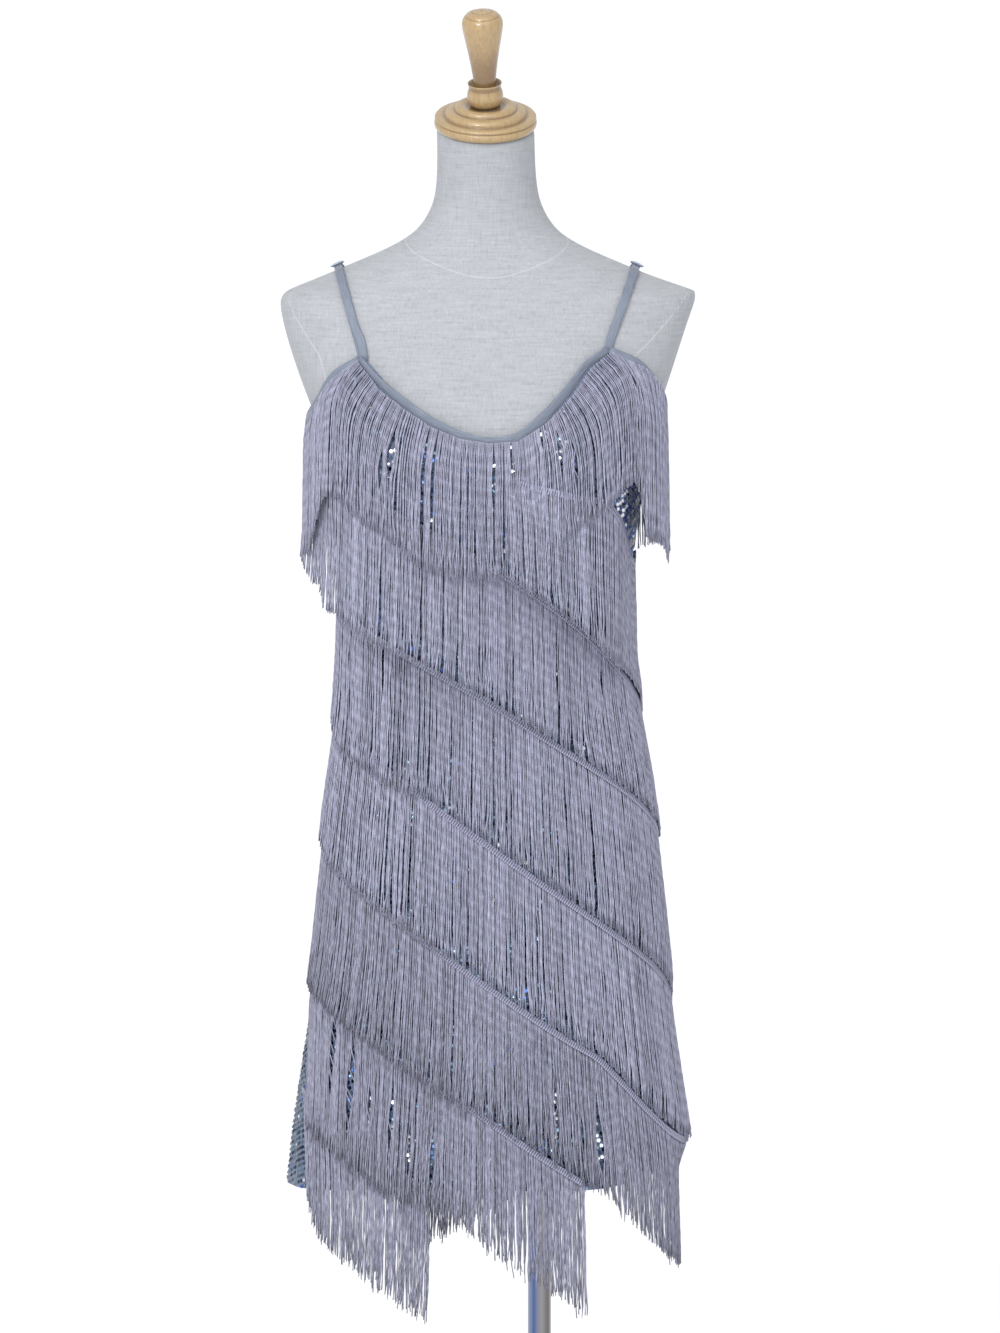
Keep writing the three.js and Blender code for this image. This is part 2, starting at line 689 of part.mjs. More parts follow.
function addForm() {
  const reach = POLE_RADIUS + POLE_FIT;
  const depth = SOCKET_DEPTH + POLE_FIT;
  const socket = new THREE.CylinderGeometry(reach, reach, depth * 2, TURNED_SEGMENTS);
  socket.rotateX(Math.PI / 2);
  socket.translate(-BODY_X, 0, FORM_SECTIONS[0].z);
  const cut = toManifold(formGeometry).subtract(toManifold(socket));
  addMesh('form_body', placeOnStand(fromManifold(cut)), LINEN);
}

function turned(profile) {
  const points = profile.map(({ radius, height }) => new THREE.Vector2(radius, height));
  const geometry = new THREE.LatheGeometry(points, TURNED_SEGMENTS);
  geometry.rotateX(Math.PI / 2);
  return geometry;
}

// The cap and the knob stand on the neck's top face, square to it.
function addCapAndKnob() {
  const neck = FORM_SECTIONS[FORM_SECTIONS.length - 1];
  const top = new THREE.Group();
  top.rotation.x = radians(neck.tilt);
  top.position.set(BODY_X + neck.side, neck.lead, neck.z);
  group.add(top);
  const cap = addMesh('form_cap', turned(CAP_PROFILE), WOOD, top);
  cap.position.z = SEAM_GAP;
  const knob = addMesh('form_knob', turned(knobProfile()), WOOD, top);
  knob.position.z = SEAM_GAP * 3 + CAP_PROFILE[CAP_PROFILE.length - 1].height;
  knob.rotation.y = -radians(KNOB_LEAN);
}

// A ball on a flat seat, with the grip standing on it.
function knobProfile() {
  const { radius, centre, neckRadius } = KNOB_BALL;
  const start = -Math.asin(centre / radius);
  const end = Math.acos(neckRadius / radius);
  const steps = 7;
  const ball = Array.from({ length: steps + 1 }, (_, step) => {
    const angle = THREE.MathUtils.lerp(start, end, step / steps);
    return { radius: radius * Math.cos(angle), height: centre + radius * Math.sin(angle) };
  });
  return [{ radius: 0, height: 0 }, ...ball, ...KNOB_GRIP];
}

// ---------------------------------------------------------------------------------------------
// Straps

// A point on the form in body coordinates, looked for from outside along a strap's upright plane.
const formProbe = new THREE.Mesh(formGeometry, new THREE.MeshBasicMaterial());
formProbe.updateMatrixWorld();

function formSurface(x, angle) {
  const far = 400;
  const out = new THREE.Vector3(0, -Math.cos(radians(angle)), Math.sin(radians(angle)));
  const origin = new THREE.Vector3(x, STRAP_PIVOT.y, STRAP_PIVOT.z).addScaledVector(out, far);
  const hits = new THREE.Raycaster(origin, out.clone().negate()).intersectObject(formProbe);
  return { point: hits[0].point, normal: hits[0].face.normal.clone() };
}

function strapX({ side, frontX, ridgeX, backX }, angle) {
  const { front, ridge, back } = STRAP_ANGLES;
  const place =
    angle < ridge
      ? THREE.MathUtils.mapLinear(angle, front, ridge, frontX, ridgeX)
      : THREE.MathUtils.mapLinear(angle, ridge, back, ridgeX, backX);
  return side * place;
}

// Where the strap runs at an angle over the shoulder: its middle on the form, and its own directions.
function strapFrame(strap, angle) {
  const reach = 2.5;
  const middle = formSurface(strapX(strap, angle), angle);
  const before = formSurface(strapX(strap, angle - reach), angle - reach);
  const after = formSurface(strapX(strap, angle + reach), angle + reach);
  const along = after.point.clone().sub(before.point).normalize();
  const normal = before.normal.add(middle.normal).add(after.normal);
  normal.addScaledVector(along, -normal.dot(along)).normalize();
  const across = new THREE.Vector3().crossVectors(normal, along);
  return { point: middle.point, along, normal, across };
}

function addStrap(name, strap) {
  const outer = [];
  const inner = [];
  for (let step = 0; step <= STRAP_STEPS; step += 1) {
    const angle = THREE.MathUtils.lerp(STRAP_ANGLES.front, STRAP_ANGLES.back, step / STRAP_STEPS);
    const frame = strapFrame(strap, angle);
    const layers = angle < STRAP_ANGLES.slider ? 2 : 1;
    const corner = (edge, lift) =>
      frame.point
        .clone()
        .addScaledVector(frame.across, (edge * STRAP_WIDTH) / 2)
        .addScaledVector(frame.normal, lift)
        .toArray();
    const top = STRAP_LIFT + STRAP_LAYER * layers;
    outer.push([corner(-1, top), corner(1, top)]);
    inner.push([corner(-1, STRAP_LIFT), corner(1, STRAP_LIFT)]);
  }
  addMesh(name, placeOnStand(wall(outer, inner)), SATIN_ELASTIC);
}

// A flat frame with a bar across its middle, lying on the strap.
function addSlider(name, strap) {
  const { width, length, bar, thickness, lift } = SLIDER;
  const outline = new THREE.Shape();
  outline.moveTo(-width / 2, -length / 2);
  outline.lineTo(width / 2, -length / 2);
  outline.lineTo(width / 2, length / 2);
  outline.lineTo(-width / 2, length / 2);
  for (const sign of [-1, 1]) {
    const slot = new THREE.Path();
    const near = (sign * bar) / 2;
    const far = sign * (length / 2 - bar);
    slot.moveTo(-width / 2 + bar, near);
    slot.lineTo(width / 2 - bar, near);
    slot.lineTo(width / 2 - bar, far);
    slot.lineTo(-width / 2 + bar, far);
    outline.holes.push(slot);
  }
  const geometry = new THREE.ExtrudeGeometry(outline, { depth: thickness, bevelEnabled: false });
  const frame = strapFrame(strap, STRAP_ANGLES.slider);
  const place = new THREE.Matrix4().makeBasis(frame.across, frame.along.clone().negate(), frame.normal);
  const rise = STRAP_LIFT + 2 * STRAP_LAYER + lift;
  place.setPosition(frame.point.clone().addScaledVector(frame.normal, rise));
  geometry.applyMatrix4(place);
  addMesh(name, placeOnStand(geometry), CLEAR_PLASTIC);
}

// ---------------------------------------------------------------------------------------------
// Stand

function addStand() {
  const { radius, edge, height, collarRadius, collarHeight, poleSeat } = FOOT;
  const bore = POLE_RADIUS + POLE_FIT;
  const profile = [
    { radius: 0, height: 0 },
    { radius, height: 0 },
    { radius, height: edge },
    { radius: radius - edge, height },
    { radius: collarRadius + 2, height: height + 2 },
    { radius: collarRadius, height: height + 4 },
    { radius: collarRadius, height: collarHeight - 1 },
    { radius: collarRadius - 1, height: collarHeight },
    { radius: bore, height: collarHeight },
    { radius: bore, height: poleSeat },
    { radius: 0, height: poleSeat },
  ];
  addMesh('stand_foot', turned(profile), FOOT_STEEL);
  const bottom = poleSeat + POLE_FIT;
  const length = poleTopZ() - bottom;
  const pole = new THREE.CylinderGeometry(POLE_RADIUS, POLE_RADIUS, length, TURNED_SEGMENTS);
  pole.rotateX(Math.PI / 2);
  addMesh('stand_pole', pole, CHROME).position.z = bottom + length / 2;
}

// ---------------------------------------------------------------------------------------------
// The whole thing

addPanel('front_panel', 0, 180);
addPanel('back_panel', 180, 360);

addBinding('binding_neck', LEFT_PEAK + BINDING_GAP_TURN, RIGHT_PEAK - BINDING_GAP_TURN);
addBinding('binding_armhole_left', 0, LEFT_PEAK);
addBinding('binding_armhole_right', RIGHT_PEAK, 180);
addBinding('binding_back', 180, 360);

addTopFringe('fringe_top_front', 0, 180);
addTopFringe('fringe_top_back', 180, 360);
[...FRONT_ROWS, ...BACK_ROWS].forEach(addFringeRow);

for (const [word, strap] of Object.entries(STRAP_SIDES)) {
  addStrap(`strap_${word}`, strap);
  addSlider(`strap_slider_${word}`, strap);
}

addForm();
addCapAndKnob();
addStand();

export default group;
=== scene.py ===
"""Looks of a flapper dress on its dress form.

The dress is a sequined net sheath with slanting rows of thread fringe, edged with satin elastic. It
hangs on a linen-covered form with a turned beech cap, which a chromed pole holds on a steel foot.

Metres, +Z up. The front faces -Y, and left and right are the viewer's. A place on the dress is given
by its turn round the body's upright axis, in degrees (0 is the left side, 90 the front, 180 the right
side and 270 the back), by its reach from that axis and by its height. Every place comes from the
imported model: each dress piece there is a wall, and the pieces here are made on that wall's points.
"""

import math
from collections.abc import Callable
from dataclasses import dataclass

import bmesh
import bpy
import numpy as np
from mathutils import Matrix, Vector
from mathutils.bvhtree import BVHTree


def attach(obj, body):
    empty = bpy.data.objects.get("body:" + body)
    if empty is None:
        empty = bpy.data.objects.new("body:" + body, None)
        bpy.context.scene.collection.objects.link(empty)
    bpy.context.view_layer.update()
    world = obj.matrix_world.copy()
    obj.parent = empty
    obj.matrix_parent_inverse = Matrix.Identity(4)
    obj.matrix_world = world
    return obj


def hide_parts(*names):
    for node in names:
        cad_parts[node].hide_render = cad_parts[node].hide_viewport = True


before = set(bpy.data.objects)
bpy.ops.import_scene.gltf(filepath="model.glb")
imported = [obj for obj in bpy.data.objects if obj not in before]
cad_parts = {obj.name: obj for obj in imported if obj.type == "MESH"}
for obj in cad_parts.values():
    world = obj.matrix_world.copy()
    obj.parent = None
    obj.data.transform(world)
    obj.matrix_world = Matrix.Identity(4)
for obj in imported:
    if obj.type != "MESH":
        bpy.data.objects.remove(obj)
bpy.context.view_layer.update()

# ---------------------------------------------------------------------------------------------
# Sizes

MM = 0.001
BODY_AXIS_X = -47 * MM

THREAD_PITCH = 1.2 * MM  # between the threads of a row, along its header tape
SECOND_ROW_PITCH = 1.1 * MM
HEM_PITCH = 0.95 * MM  # in the rows that hang below the hem
THREAD_RADIUS = 0.74 * MM
THREAD_FLATNESS = (1.16, 0.88)  # its two half sizes, for a radius of 1
THREAD_SIDES = 4
THREAD_POINTS = 13
THREAD_TWIST = 0.9  # radians, from one point to the next
THREAD_LENGTH = 130 * MM
CHAIN_STITCH = 2.2 * MM  # along a thread, drawn coarser than it is so that it shows
STREAK_SHADE = 0.9  # how much the dye's streaks change a thread's tone
LONGEST_EXTRA = 22 * MM  # that threads grow longer by, to reach the next tape
MOST_TRIM = 50 * MM  # that they are cut shorter by, to stop at it
TAPE_WIDTH = 6.2 * MM
TAPE_THICKNESS = 1.4 * MM
TAPE_STITCH = 2.4 * MM  # along the tape
TAPE_RIB = 0.2  # how much thicker and thinner it is at every other point
TAPE_LIFT = 0.6 * MM
TAPE_SIDES = 8
TAPE_SQUARENESS = 2.6

LINE_STEPS = 24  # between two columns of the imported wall, to measure along it
NET_THICKNESS = 1.0 * MM
NET_COLUMN_STEPS = 3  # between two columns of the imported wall
NET_ROW_STEPS = 3
NET_MESH = 1.5 * MM  # between its holes, drawn coarser than they are so that they show
SEQUIN_RADIUS = 2.0 * MM
SEQUIN_RADIUS_SPREAD = (0.92, 1.05)
SEQUIN_DISH = 0.35 * MM
SEQUIN_LIFT = 0.55 * MM  # off the net
SEQUIN_TILT = (0.16, 0.16)  # the mean and the spread of how far it faces up
SEQUIN_ROLL = 0.2  # the spread of how far it faces sideways
SEQUIN_PITCH = 3.9 * MM  # along a row of sequins
SEQUIN_ROW_PITCH = 5.4 * MM
SEQUIN_ROW_SLOPE = 0.45  # rise of a row, for each unit round the body
SEQUIN_SIDES = 6

ELASTIC_STEPS = 6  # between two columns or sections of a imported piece
ELASTIC_SQUARENESS = 3.2
ELASTIC_RIB = 0.8 * MM  # between its woven ribs
BINDING_THICKNESS = 2.6 * MM  # folded over the net's edge
BINDING_OVER = 0.3 * MM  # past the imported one's top
BINDING_FULLNESS = 1.1  # of its width, as its section is rounded
BINDING_SQUARENESS = 5.0
BINDING_SIDES = 14
STRAP_LAYER = 1.0 * MM
STRAP_FLATNESS = 0.92  # of its thickness, so that the layers stay apart
STRAP_WIDTH = 8.0 * MM
STRAP_SIDES = 12
STRAP_SEWN_IN = 7 * MM  # its end, behind the binding
STRAP_SUNK_IN = 1.2 * MM
STRAP_STACK = 1.05  # layers from the middle of one to the middle of the other
STRAP_HUMP = (3.4 * MM, 3.4 * MM)  # over the slider's bar: height and half length
STRAP_SPLAY = (18 * MM, 14 * MM)  # of the upper layer: its place up the strap and half length
STRAP_SLIPS = {"left": 2.4 * MM, "right": -0.5 * MM}  # how far it slips sideways there
STRAP_TAIL = 9  # sections of the upper layer past the slider
STRAP_PIVOT = (5 * MM, 1.215)  # inside the shoulder, which the strap runs round: y and z
INSIDE_DROP = 0.1  # to a point further down, which every part of the strap faces away from
SIGHT_RISE = 0.14  # a taut strap is straight when seen from this slope above level
SLIDER_LIFT = 0.6 * MM  # its frame lies over both layers of the strap
SLIDER_FORWARD = 4 * MM  # it has slipped this far down the front
SLIDER_HALF = (6.5 * MM, 5.0 * MM)  # half its width and half its length
SLIDER_BAR = (0.95 * MM, 0.72 * MM)  # half the width and half the height of its frame's section
SLIDER_BAR_NARROWING = 0.9  # of that width at the middle bar
SLIDER_BAR_HALF_HEIGHT = 0.66 * MM
SLIDER_BAR_POINTS = 5
SLIDER_CORNER = 1.6 * MM
SLIDER_CORNER_STEPS = 6
SLIDER_SIDES = 10
SLIDER_SQUARENESS = 2.4

# Seams on the form: half the width, half the height, and how far it stands out.
NECK_SEAM = (1.2 * MM, 1.2 * MM, 0.26 * MM)
ARM_SEAM = (1.7 * MM, 0.9 * MM, 0.1 * MM)
SEAM_SIDES = 8

POLE_RADIUS = 11 * MM
FOOT_RING = 3 * MM  # between the marks of spinning, drawn coarser than they are so that they show
NYLON_CLOUD = 4 * MM
PAPER_TOOTH = 8 * MM
FLOOR_HALF = 80.0  # half the width of the paper

# Streaks of each finish: their sizes in millimetres along x, y and z. Threads, rings and grain are
# drawn coarser than they are, so that they show.
DYE_STREAKS = (2.4, 2.4, 6)
ELASTIC_THREADS = (14, 0.9, 1000)  # along and across the elastic, with no change the third way
LINEN_WEFT = (22, 22, 1.7)
LINEN_WARP = (1.7, 1.7, 26)
BEECH_GRAIN = (2.2, 2.2, 30)
BEECH_FLECKS = (1.1, 1.1, 4)
POLISHED_RINGS = (20, 20, 0.8)

# ---------------------------------------------------------------------------------------------
# Materials


def linear(hex_colour):
    """A scene-linear colour from an sRGB hex value."""
    parts = [int(hex_colour[place : place + 2], 16) / 255 for place in (1, 3, 5)]
    curve = [p / 12.92 if p <= 0.04045 else ((p + 0.055) / 1.055) ** 2.4 for p in parts]
    return (*curve, 1.0)


def add_node(tree, kind, inputs=None, **settings):
    """Adds a node. An input is linked where its value is a socket, and set where it is plain."""
    node = tree.nodes.new(kind)
    for name, value in settings.items():
        setattr(node, name, value)
    for name, value in (inputs or {}).items():
        if isinstance(value, bpy.types.NodeSocket):
            tree.links.new(value, node.inputs[name])
        else:
            node.inputs[name].default_value = value
    return node


def new_finish(name):
    """An empty material and its tree."""
    finish = bpy.data.materials.new(name)
    finish.use_nodes = True
    finish.node_tree.nodes.clear()
    return finish, finish.node_tree


def set_stops(ramp, stops):
    """Gives a colour ramp its stops, from a list of places and hex colours."""
    elements = ramp.color_ramp.elements
    while len(elements) > len(stops):
        elements.remove(elements[-1])
    while len(elements) < len(stops):
        elements.new(1.0)
    for element, (place, hex_colour) in zip(elements, stops):
        element.position = place
        element.color = linear(hex_colour)


def streaks(tree, place, sizes, **inputs):
    """Uneven streaks of about the given sizes in millimetres along x, y and z, at a place socket."""
    scale = tuple(1 / (size * MM) for size in sizes)
    stretched = add_node(tree, "ShaderNodeMapping", {"Vector": place, "Scale": scale})
    inputs = {"Vector": stretched.outputs["Vector"], "Scale": 1.0, **inputs}
    return add_node(tree, "ShaderNodeTexNoise", inputs)


def ripple(tree, distance, pitch, wave="SINE"):
    """A wave from -1 to 1 that repeats at each pitch along a distance socket."""
    phase = add_node(
        tree, "ShaderNodeMath", {0: distance, 1: 2 * math.pi / pitch}, operation="MULTIPLY"
    )
    return add_node(tree, "ShaderNodeMath", {0: phase.outputs[0]}, operation=wave)


def make_viscose_thread():
    """Viscose chainette, knitted: a soft lilac grey with a dull sheen, and chain stitches that just
    show."""
    finish, tree = new_finish("viscose_chainette")
    tone = add_node(tree, "ShaderNodeAttribute", attribute_name="tone")
    along = add_node(tree, "ShaderNodeAttribute", attribute_name="along")
    place = add_node(tree, "ShaderNodeTexCoord")
    dyed = streaks(tree, place.outputs["Object"], DYE_STREAKS)
    mixed = add_node(
        tree,
        "ShaderNodeMath",
        {0: dyed.outputs["Fac"], 1: STREAK_SHADE, 2: tone.outputs["Fac"]},
        operation="MULTIPLY_ADD",
    )
    centred = add_node(
        tree, "ShaderNodeMath", {0: mixed.outputs[0], 1: STREAK_SHADE / 2}, operation="SUBTRACT"
    )
    shade = add_node(tree, "ShaderNodeValToRGB", {"Fac": centred.outputs[0]})
    set_stops(shade, [(0.0, "#737483"), (0.35, "#9192a6"), (0.65, "#a1a2b8"), (1.0, "#b6b7cb")])
    stitches = ripple(tree, along.outputs["Fac"], CHAIN_STITCH)
    bump = add_node(
        tree,
        "ShaderNodeBump",
        {"Height": stitches.outputs[0], "Strength": 0.35, "Distance": 0.2 * MM},
    )
    surface = add_node(
        tree,
        "ShaderNodeBsdfPrincipled",
        {
            "Base Color": shade.outputs["Color"],
            "Roughness": 0.62,
            "Specular IOR Level": 0.35,
            "Sheen Weight": 0.15,
            "Sheen Roughness": 0.45,
            "Normal": bump.outputs["Normal"],
        },
    )
    add_node(tree, "ShaderNodeOutputMaterial", {"Surface": surface.outputs["BSDF"]})
    return finish


def make_header_tape():
    """Chainette tape, crocheted: two edge cords with cross threads like a ladder, with painted shade in
    its hollows and painted light on its cords and rungs.
    """
    finish, tree = new_finish("crocheted_tape")
    along = add_node(tree, "ShaderNodeAttribute", attribute_name="along")
    across = add_node(tree, "ShaderNodeAttribute", attribute_name="across")
    rungs = ripple(tree, along.outputs["Fac"], TAPE_STITCH)
    hollow = ripple(tree, across.outputs["Fac"], TAPE_WIDTH, "COSINE")
    height = add_node(
        tree,
        "ShaderNodeMath",
        {0: hollow.outputs[0], 1: -0.35, 2: rungs.outputs[0]},
        operation="MULTIPLY_ADD",
    )
    level = add_node(
        tree, "ShaderNodeMath", {0: height.outputs[0], 1: 0.27, 2: 0.5}, operation="MULTIPLY_ADD"
    )
    # painted shade and highlight: the colour follows the bump's height, darker in the hollows and lighter
    # on the cords and rungs
    shade = add_node(tree, "ShaderNodeValToRGB", {"Fac": level.outputs[0]})
    set_stops(shade, [(0.1, "#4d4e60"), (0.45, "#80819a"), (0.85, "#aeafc5")])
    bump = add_node(
        tree, "ShaderNodeBump", {"Height": height.outputs[0], "Strength": 0.9, "Distance": 0.4 * MM}
    )
    surface = add_node(
        tree,
        "ShaderNodeBsdfPrincipled",
        {
            "Base Color": shade.outputs["Color"],
            "Roughness": 0.6,
            "Specular IOR Level": 0.35,
            "Sheen Weight": 0.15,
            "Normal": bump.outputs["Normal"],
        },
    )
    add_node(tree, "ShaderNodeOutputMaterial", {"Surface": surface.outputs["BSDF"]})
    return finish


def make_satin_elastic():
    """Nylon satin elastic, woven: a smooth blue-grey face with a soft sheen and fine ribs along it."""
    finish, tree = new_finish("satin_elastic")
    across = add_node(tree, "ShaderNodeAttribute", attribute_name="across")
    along = add_node(tree, "ShaderNodeAttribute", attribute_name="along")
    ribs = ripple(tree, across.outputs["Fac"], ELASTIC_RIB)
    runs = add_node(
        tree, "ShaderNodeCombineXYZ", {"X": along.outputs["Fac"], "Y": across.outputs["Fac"]}
    )
    threads = streaks(tree, runs.outputs["Vector"], ELASTIC_THREADS)
    shade = add_node(tree, "ShaderNodeValToRGB", {"Fac": threads.outputs["Fac"]})
    set_stops(shade, [(0.3, "#68707e"), (0.5, "#727a88"), (0.7, "#7d8593")])
    bump = add_node(
        tree, "ShaderNodeBump", {"Height": ribs.outputs[0], "Strength": 0.25, "Distance": 0.08 * MM}
    )
    surface = add_node(
        tree,
        "ShaderNodeBsdfPrincipled",
        {
            "Base Color": shade.outputs["Color"],
            "Roughness": 0.55,
            "Specular IOR Level": 0.4,
            "Sheen Weight": 0.15,
            "Sheen Roughness": 0.3,
            "Normal": bump.outputs["Normal"],
        },
    )
    add_node(tree, "ShaderNodeOutputMaterial", {"Surface": surface.outputs["BSDF"]})
    return finish


def make_sequin_film():
    """Polyester sequin film, metallised: discs from dark slate to teal, with blue and silver glints and
    darker rims painted into their colour.
    """
    finish, tree = new_finish("metallised_sequin_film")
    tone = add_node(tree, "ShaderNodeAttribute", attribute_name="tone")
    rim = add_node(tree, "ShaderNodeAttribute", attribute_name="rim")
    shade = add_node(tree, "ShaderNodeValToRGB", {"Fac": tone.outputs["Fac"]})
    # tones up to 0.6 are the discs' own slate and teal; the blue and the silver to white above them are
    # painted glints
    set_stops(
        shade,
        [
            (0.0, "#1f2d3a"),
            (0.3, "#3f5769"),
            (0.6, "#7f9bad"),
            (0.72, "#4a72cc"),
            (0.8, "#7299e2"),
            (0.88, "#d2e0ec"),
            (1.0, "#ffffff"),
        ],
    )
    # painted shade: the rim attribute darkens each disc toward slate at its edge
    rim_shaded = add_node(
        tree,
        "ShaderNodeMix",
        {"Factor": rim.outputs["Fac"], "A": shade.outputs["Color"], "B": linear("#46526a")},
        data_type="RGBA",
    )
    surface = add_node(
        tree,
        "ShaderNodeBsdfPrincipled",
        {"Base Color": rim_shaded.outputs["Result"], "Metallic": 1.0, "Roughness": 0.22},
    )
    add_node(tree, "ShaderNodeOutputMaterial", {"Surface": surface.outputs["BSDF"]})
    return finish


def make_stretch_net():
    """Polyester stretch net, knitted: a dark slate ground with a fine honeycomb of holes."""
    finish, tree = new_finish("knitted_stretch_net")
    place = add_node(tree, "ShaderNodeTexCoord")
    cells = add_node(
        tree,
        "ShaderNodeTexVoronoi",
        {"Vector": place.outputs["Object"], "Scale": 1 / NET_MESH, "Randomness": 0.35},
        feature="DISTANCE_TO_EDGE",
    )
    shade = add_node(tree, "ShaderNodeValToRGB", {"Fac": cells.outputs["Distance"]})
    set_stops(shade, [(0.04, "#76839f"), (0.16, "#4c5978"), (0.5, "#323b54")])
    bump = add_node(
        tree,
        "ShaderNodeBump",
        {"Height": cells.outputs["Distance"], "Strength": 0.4, "Distance": 0.3 * MM},
        invert=True,
    )
    surface = add_node(
        tree,
        "ShaderNodeBsdfPrincipled",
        {
            "Base Color": shade.outputs["Color"],
            "Roughness": 0.7,
            "Sheen Weight": 0.2,
            "Normal": bump.outputs["Normal"],
        },
    )
    add_node(tree, "ShaderNodeOutputMaterial", {"Surface": surface.outputs["BSDF"]})
    return finish


def make_linen(name, stops):
    """Linen, plain woven: a matt surface, and uneven threads both ways that show as faint streaks."""
    finish, tree = new_finish(name)
    place = add_node(tree, "ShaderNodeTexCoord").outputs["Object"]
    weft = streaks(tree, place, LINEN_WEFT, Detail=3.0, Roughness=0.6)
    warp = streaks(tree, place, LINEN_WARP, Detail=3.0, Roughness=0.6)
    woven = add_node(
        tree, "ShaderNodeMath", {0: weft.outputs["Fac"], 1: warp.outputs["Fac"]}, operation="ADD"
    )
    level = add_node(tree, "ShaderNodeMath", {0: woven.outputs[0], 1: 0.5}, operation="MULTIPLY")
    shade = add_node(tree, "ShaderNodeValToRGB", {"Fac": level.outputs[0]})
    set_stops(shade, stops)
    bump = add_node(
        tree, "ShaderNodeBump", {"Height": woven.outputs[0], "Strength": 0.3, "Distance": 0.5 * MM}
    )
    surface = add_node(
        tree,
        "ShaderNodeBsdfPrincipled",
        {
            "Base Color": shade.outputs["Color"],
            "Roughness": 0.85,
            "Specular IOR Level": 0.3,
            "Sheen Weight": 0.1,
            "Normal": bump.outputs["Normal"],
        },
    )
    add_node(tree, "ShaderNodeOutputMaterial", {"Surface": surface.outputs["BSDF"]})
    return finish


def make_beech():
    """Beech, turned and varnished: a warm pale wood with close grain, small flecks, a clear gloss and
    painted shade in the turned grooves."""
    finish, tree = new_finish("varnished_beech")
    place = add_node(tree, "ShaderNodeTexCoord").outputs["Object"]
    grain = streaks(tree, place, BEECH_GRAIN, Detail=4.0, Roughness=0.55)
    flecks = streaks(tree, place, BEECH_FLECKS, Detail=1.0)
    shade = add_node(tree, "ShaderNodeValToRGB", {"Fac": grain.outputs["Fac"]})
    set_stops(shade, [(0.25, "#988058"), (0.5, "#a58b62"), (0.75, "#b0976f")])
    fleck_mask = add_node(
        tree,
        "ShaderNodeMapRange",
        {"Value": flecks.outputs["Fac"], "From Min": 0.66, "From Max": 0.72, "To Max": 0.55},
    )
    flecked = add_node(
        tree,
        "ShaderNodeMix",
        {
            "Factor": fleck_mask.outputs["Result"],
            "A": shade.outputs["Color"],
            "B": linear("#6d5233"),
        },
        data_type="RGBA",
    )
    # painted shade: the turned grooves are darkened by how hollow the profile is there
    hollow = add_node(tree, "ShaderNodeAttribute", attribute_name="hollow")
    groove_shade_mask = add_node(
        tree, "ShaderNodeMapRange", {"Value": hollow.outputs["Fac"], "To Max": 0.7}
    )
    groove_shaded = add_node(
        tree,
        "ShaderNodeMix",
        {
            "Factor": groove_shade_mask.outputs["Result"],
            "A": flecked.outputs["Result"],
            "B": linear("#63472a"),
        },
        data_type="RGBA",
    )
    surface = add_node(
        tree,
        "ShaderNodeBsdfPrincipled",
        {
            "Base Color": groove_shaded.outputs["Result"],
            "Roughness": 0.38,
            "Coat Weight": 0.7,
            "Coat Roughness": 0.12,
        },
    )
    add_node(tree, "ShaderNodeOutputMaterial", {"Surface": surface.outputs["BSDF"]})
    return finish


def make_chromed_steel():
    """Steel tube, chrome plated: a bright tube with painted reflections in long blue and brown stripes,
    and fine rings.
    """
    finish, tree = new_finish("chromed_steel")
    place = add_node(tree, "ShaderNodeTexCoord").outputs["Object"]
    sides = add_node(tree, "ShaderNodeSeparateXYZ", {"Vector": place})
    level = add_node(
        tree,
        "ShaderNodeMapRange",
        {"Value": sides.outputs["X"], "From Min": -POLE_RADIUS, "From Max": POLE_RADIUS},
    )
    # painted reflection: the colour runs in stripes across the tube's width, as the studio would be
    # mirrored in it
    shade = add_node(tree, "ShaderNodeValToRGB", {"Fac": level.outputs["Result"]})
    set_stops(
        shade,
        [
            (0.0, "#8d96a8"),
            (0.14, "#76829c"),
            (0.26, "#4d5f90"),
            (0.4, "#747a8c"),
            (0.6, "#8e8c8c"),
            (0.86, "#6f6a68"),
            (1.0, "#98989a"),
        ],
    )
    rings = streaks(tree, place, POLISHED_RINGS)
    roughness = add_node(
        tree, "ShaderNodeMapRange", {"Value": rings.outputs["Fac"], "To Min": 0.08, "To Max": 0.2}
    )
    surface = add_node(
        tree,
        "ShaderNodeBsdfPrincipled",
        {
            "Base Color": shade.outputs["Color"],
            "Metallic": 1.0,
            "Roughness": roughness.outputs["Result"],
        },
    )
    add_node(tree, "ShaderNodeOutputMaterial", {"Surface": surface.outputs["BSDF"]})
    return finish


def make_brushed_steel():
    """Steel plate, spun and brushed: fine rings round the middle, and a soft grey shine."""
    finish, tree = new_finish("brushed_steel")
    place = add_node(tree, "ShaderNodeTexCoord")
    rings = add_node(
        tree,
        "ShaderNodeTexWave",
        {
            "Vector": place.outputs["Object"],
            "Scale": 1 / FOOT_RING / math.tau,
            "Distortion": 1.5,
            "Detail": 3.0,
            "Detail Scale": 2.0,
        },
        wave_type="RINGS",
        rings_direction="Z",
    )
    roughness = add_node(
        tree, "ShaderNodeMapRange", {"Value": rings.outputs["Fac"], "To Min": 0.28, "To Max": 0.42}
    )
    bump = add_node(
        tree,
        "ShaderNodeBump",
        {"Height": rings.outputs["Fac"], "Strength": 0.15, "Distance": 0.05 * MM},
    )
    surface = add_node(
        tree,
        "ShaderNodeBsdfPrincipled",
        {
            "Base Color": linear("#8f9298"),
            "Metallic": 1.0,
            "Roughness": roughness.outputs["Result"],
            "Normal": bump.outputs["Normal"],
        },
    )
    add_node(tree, "ShaderNodeOutputMaterial", {"Surface": surface.outputs["BSDF"]})
    return finish


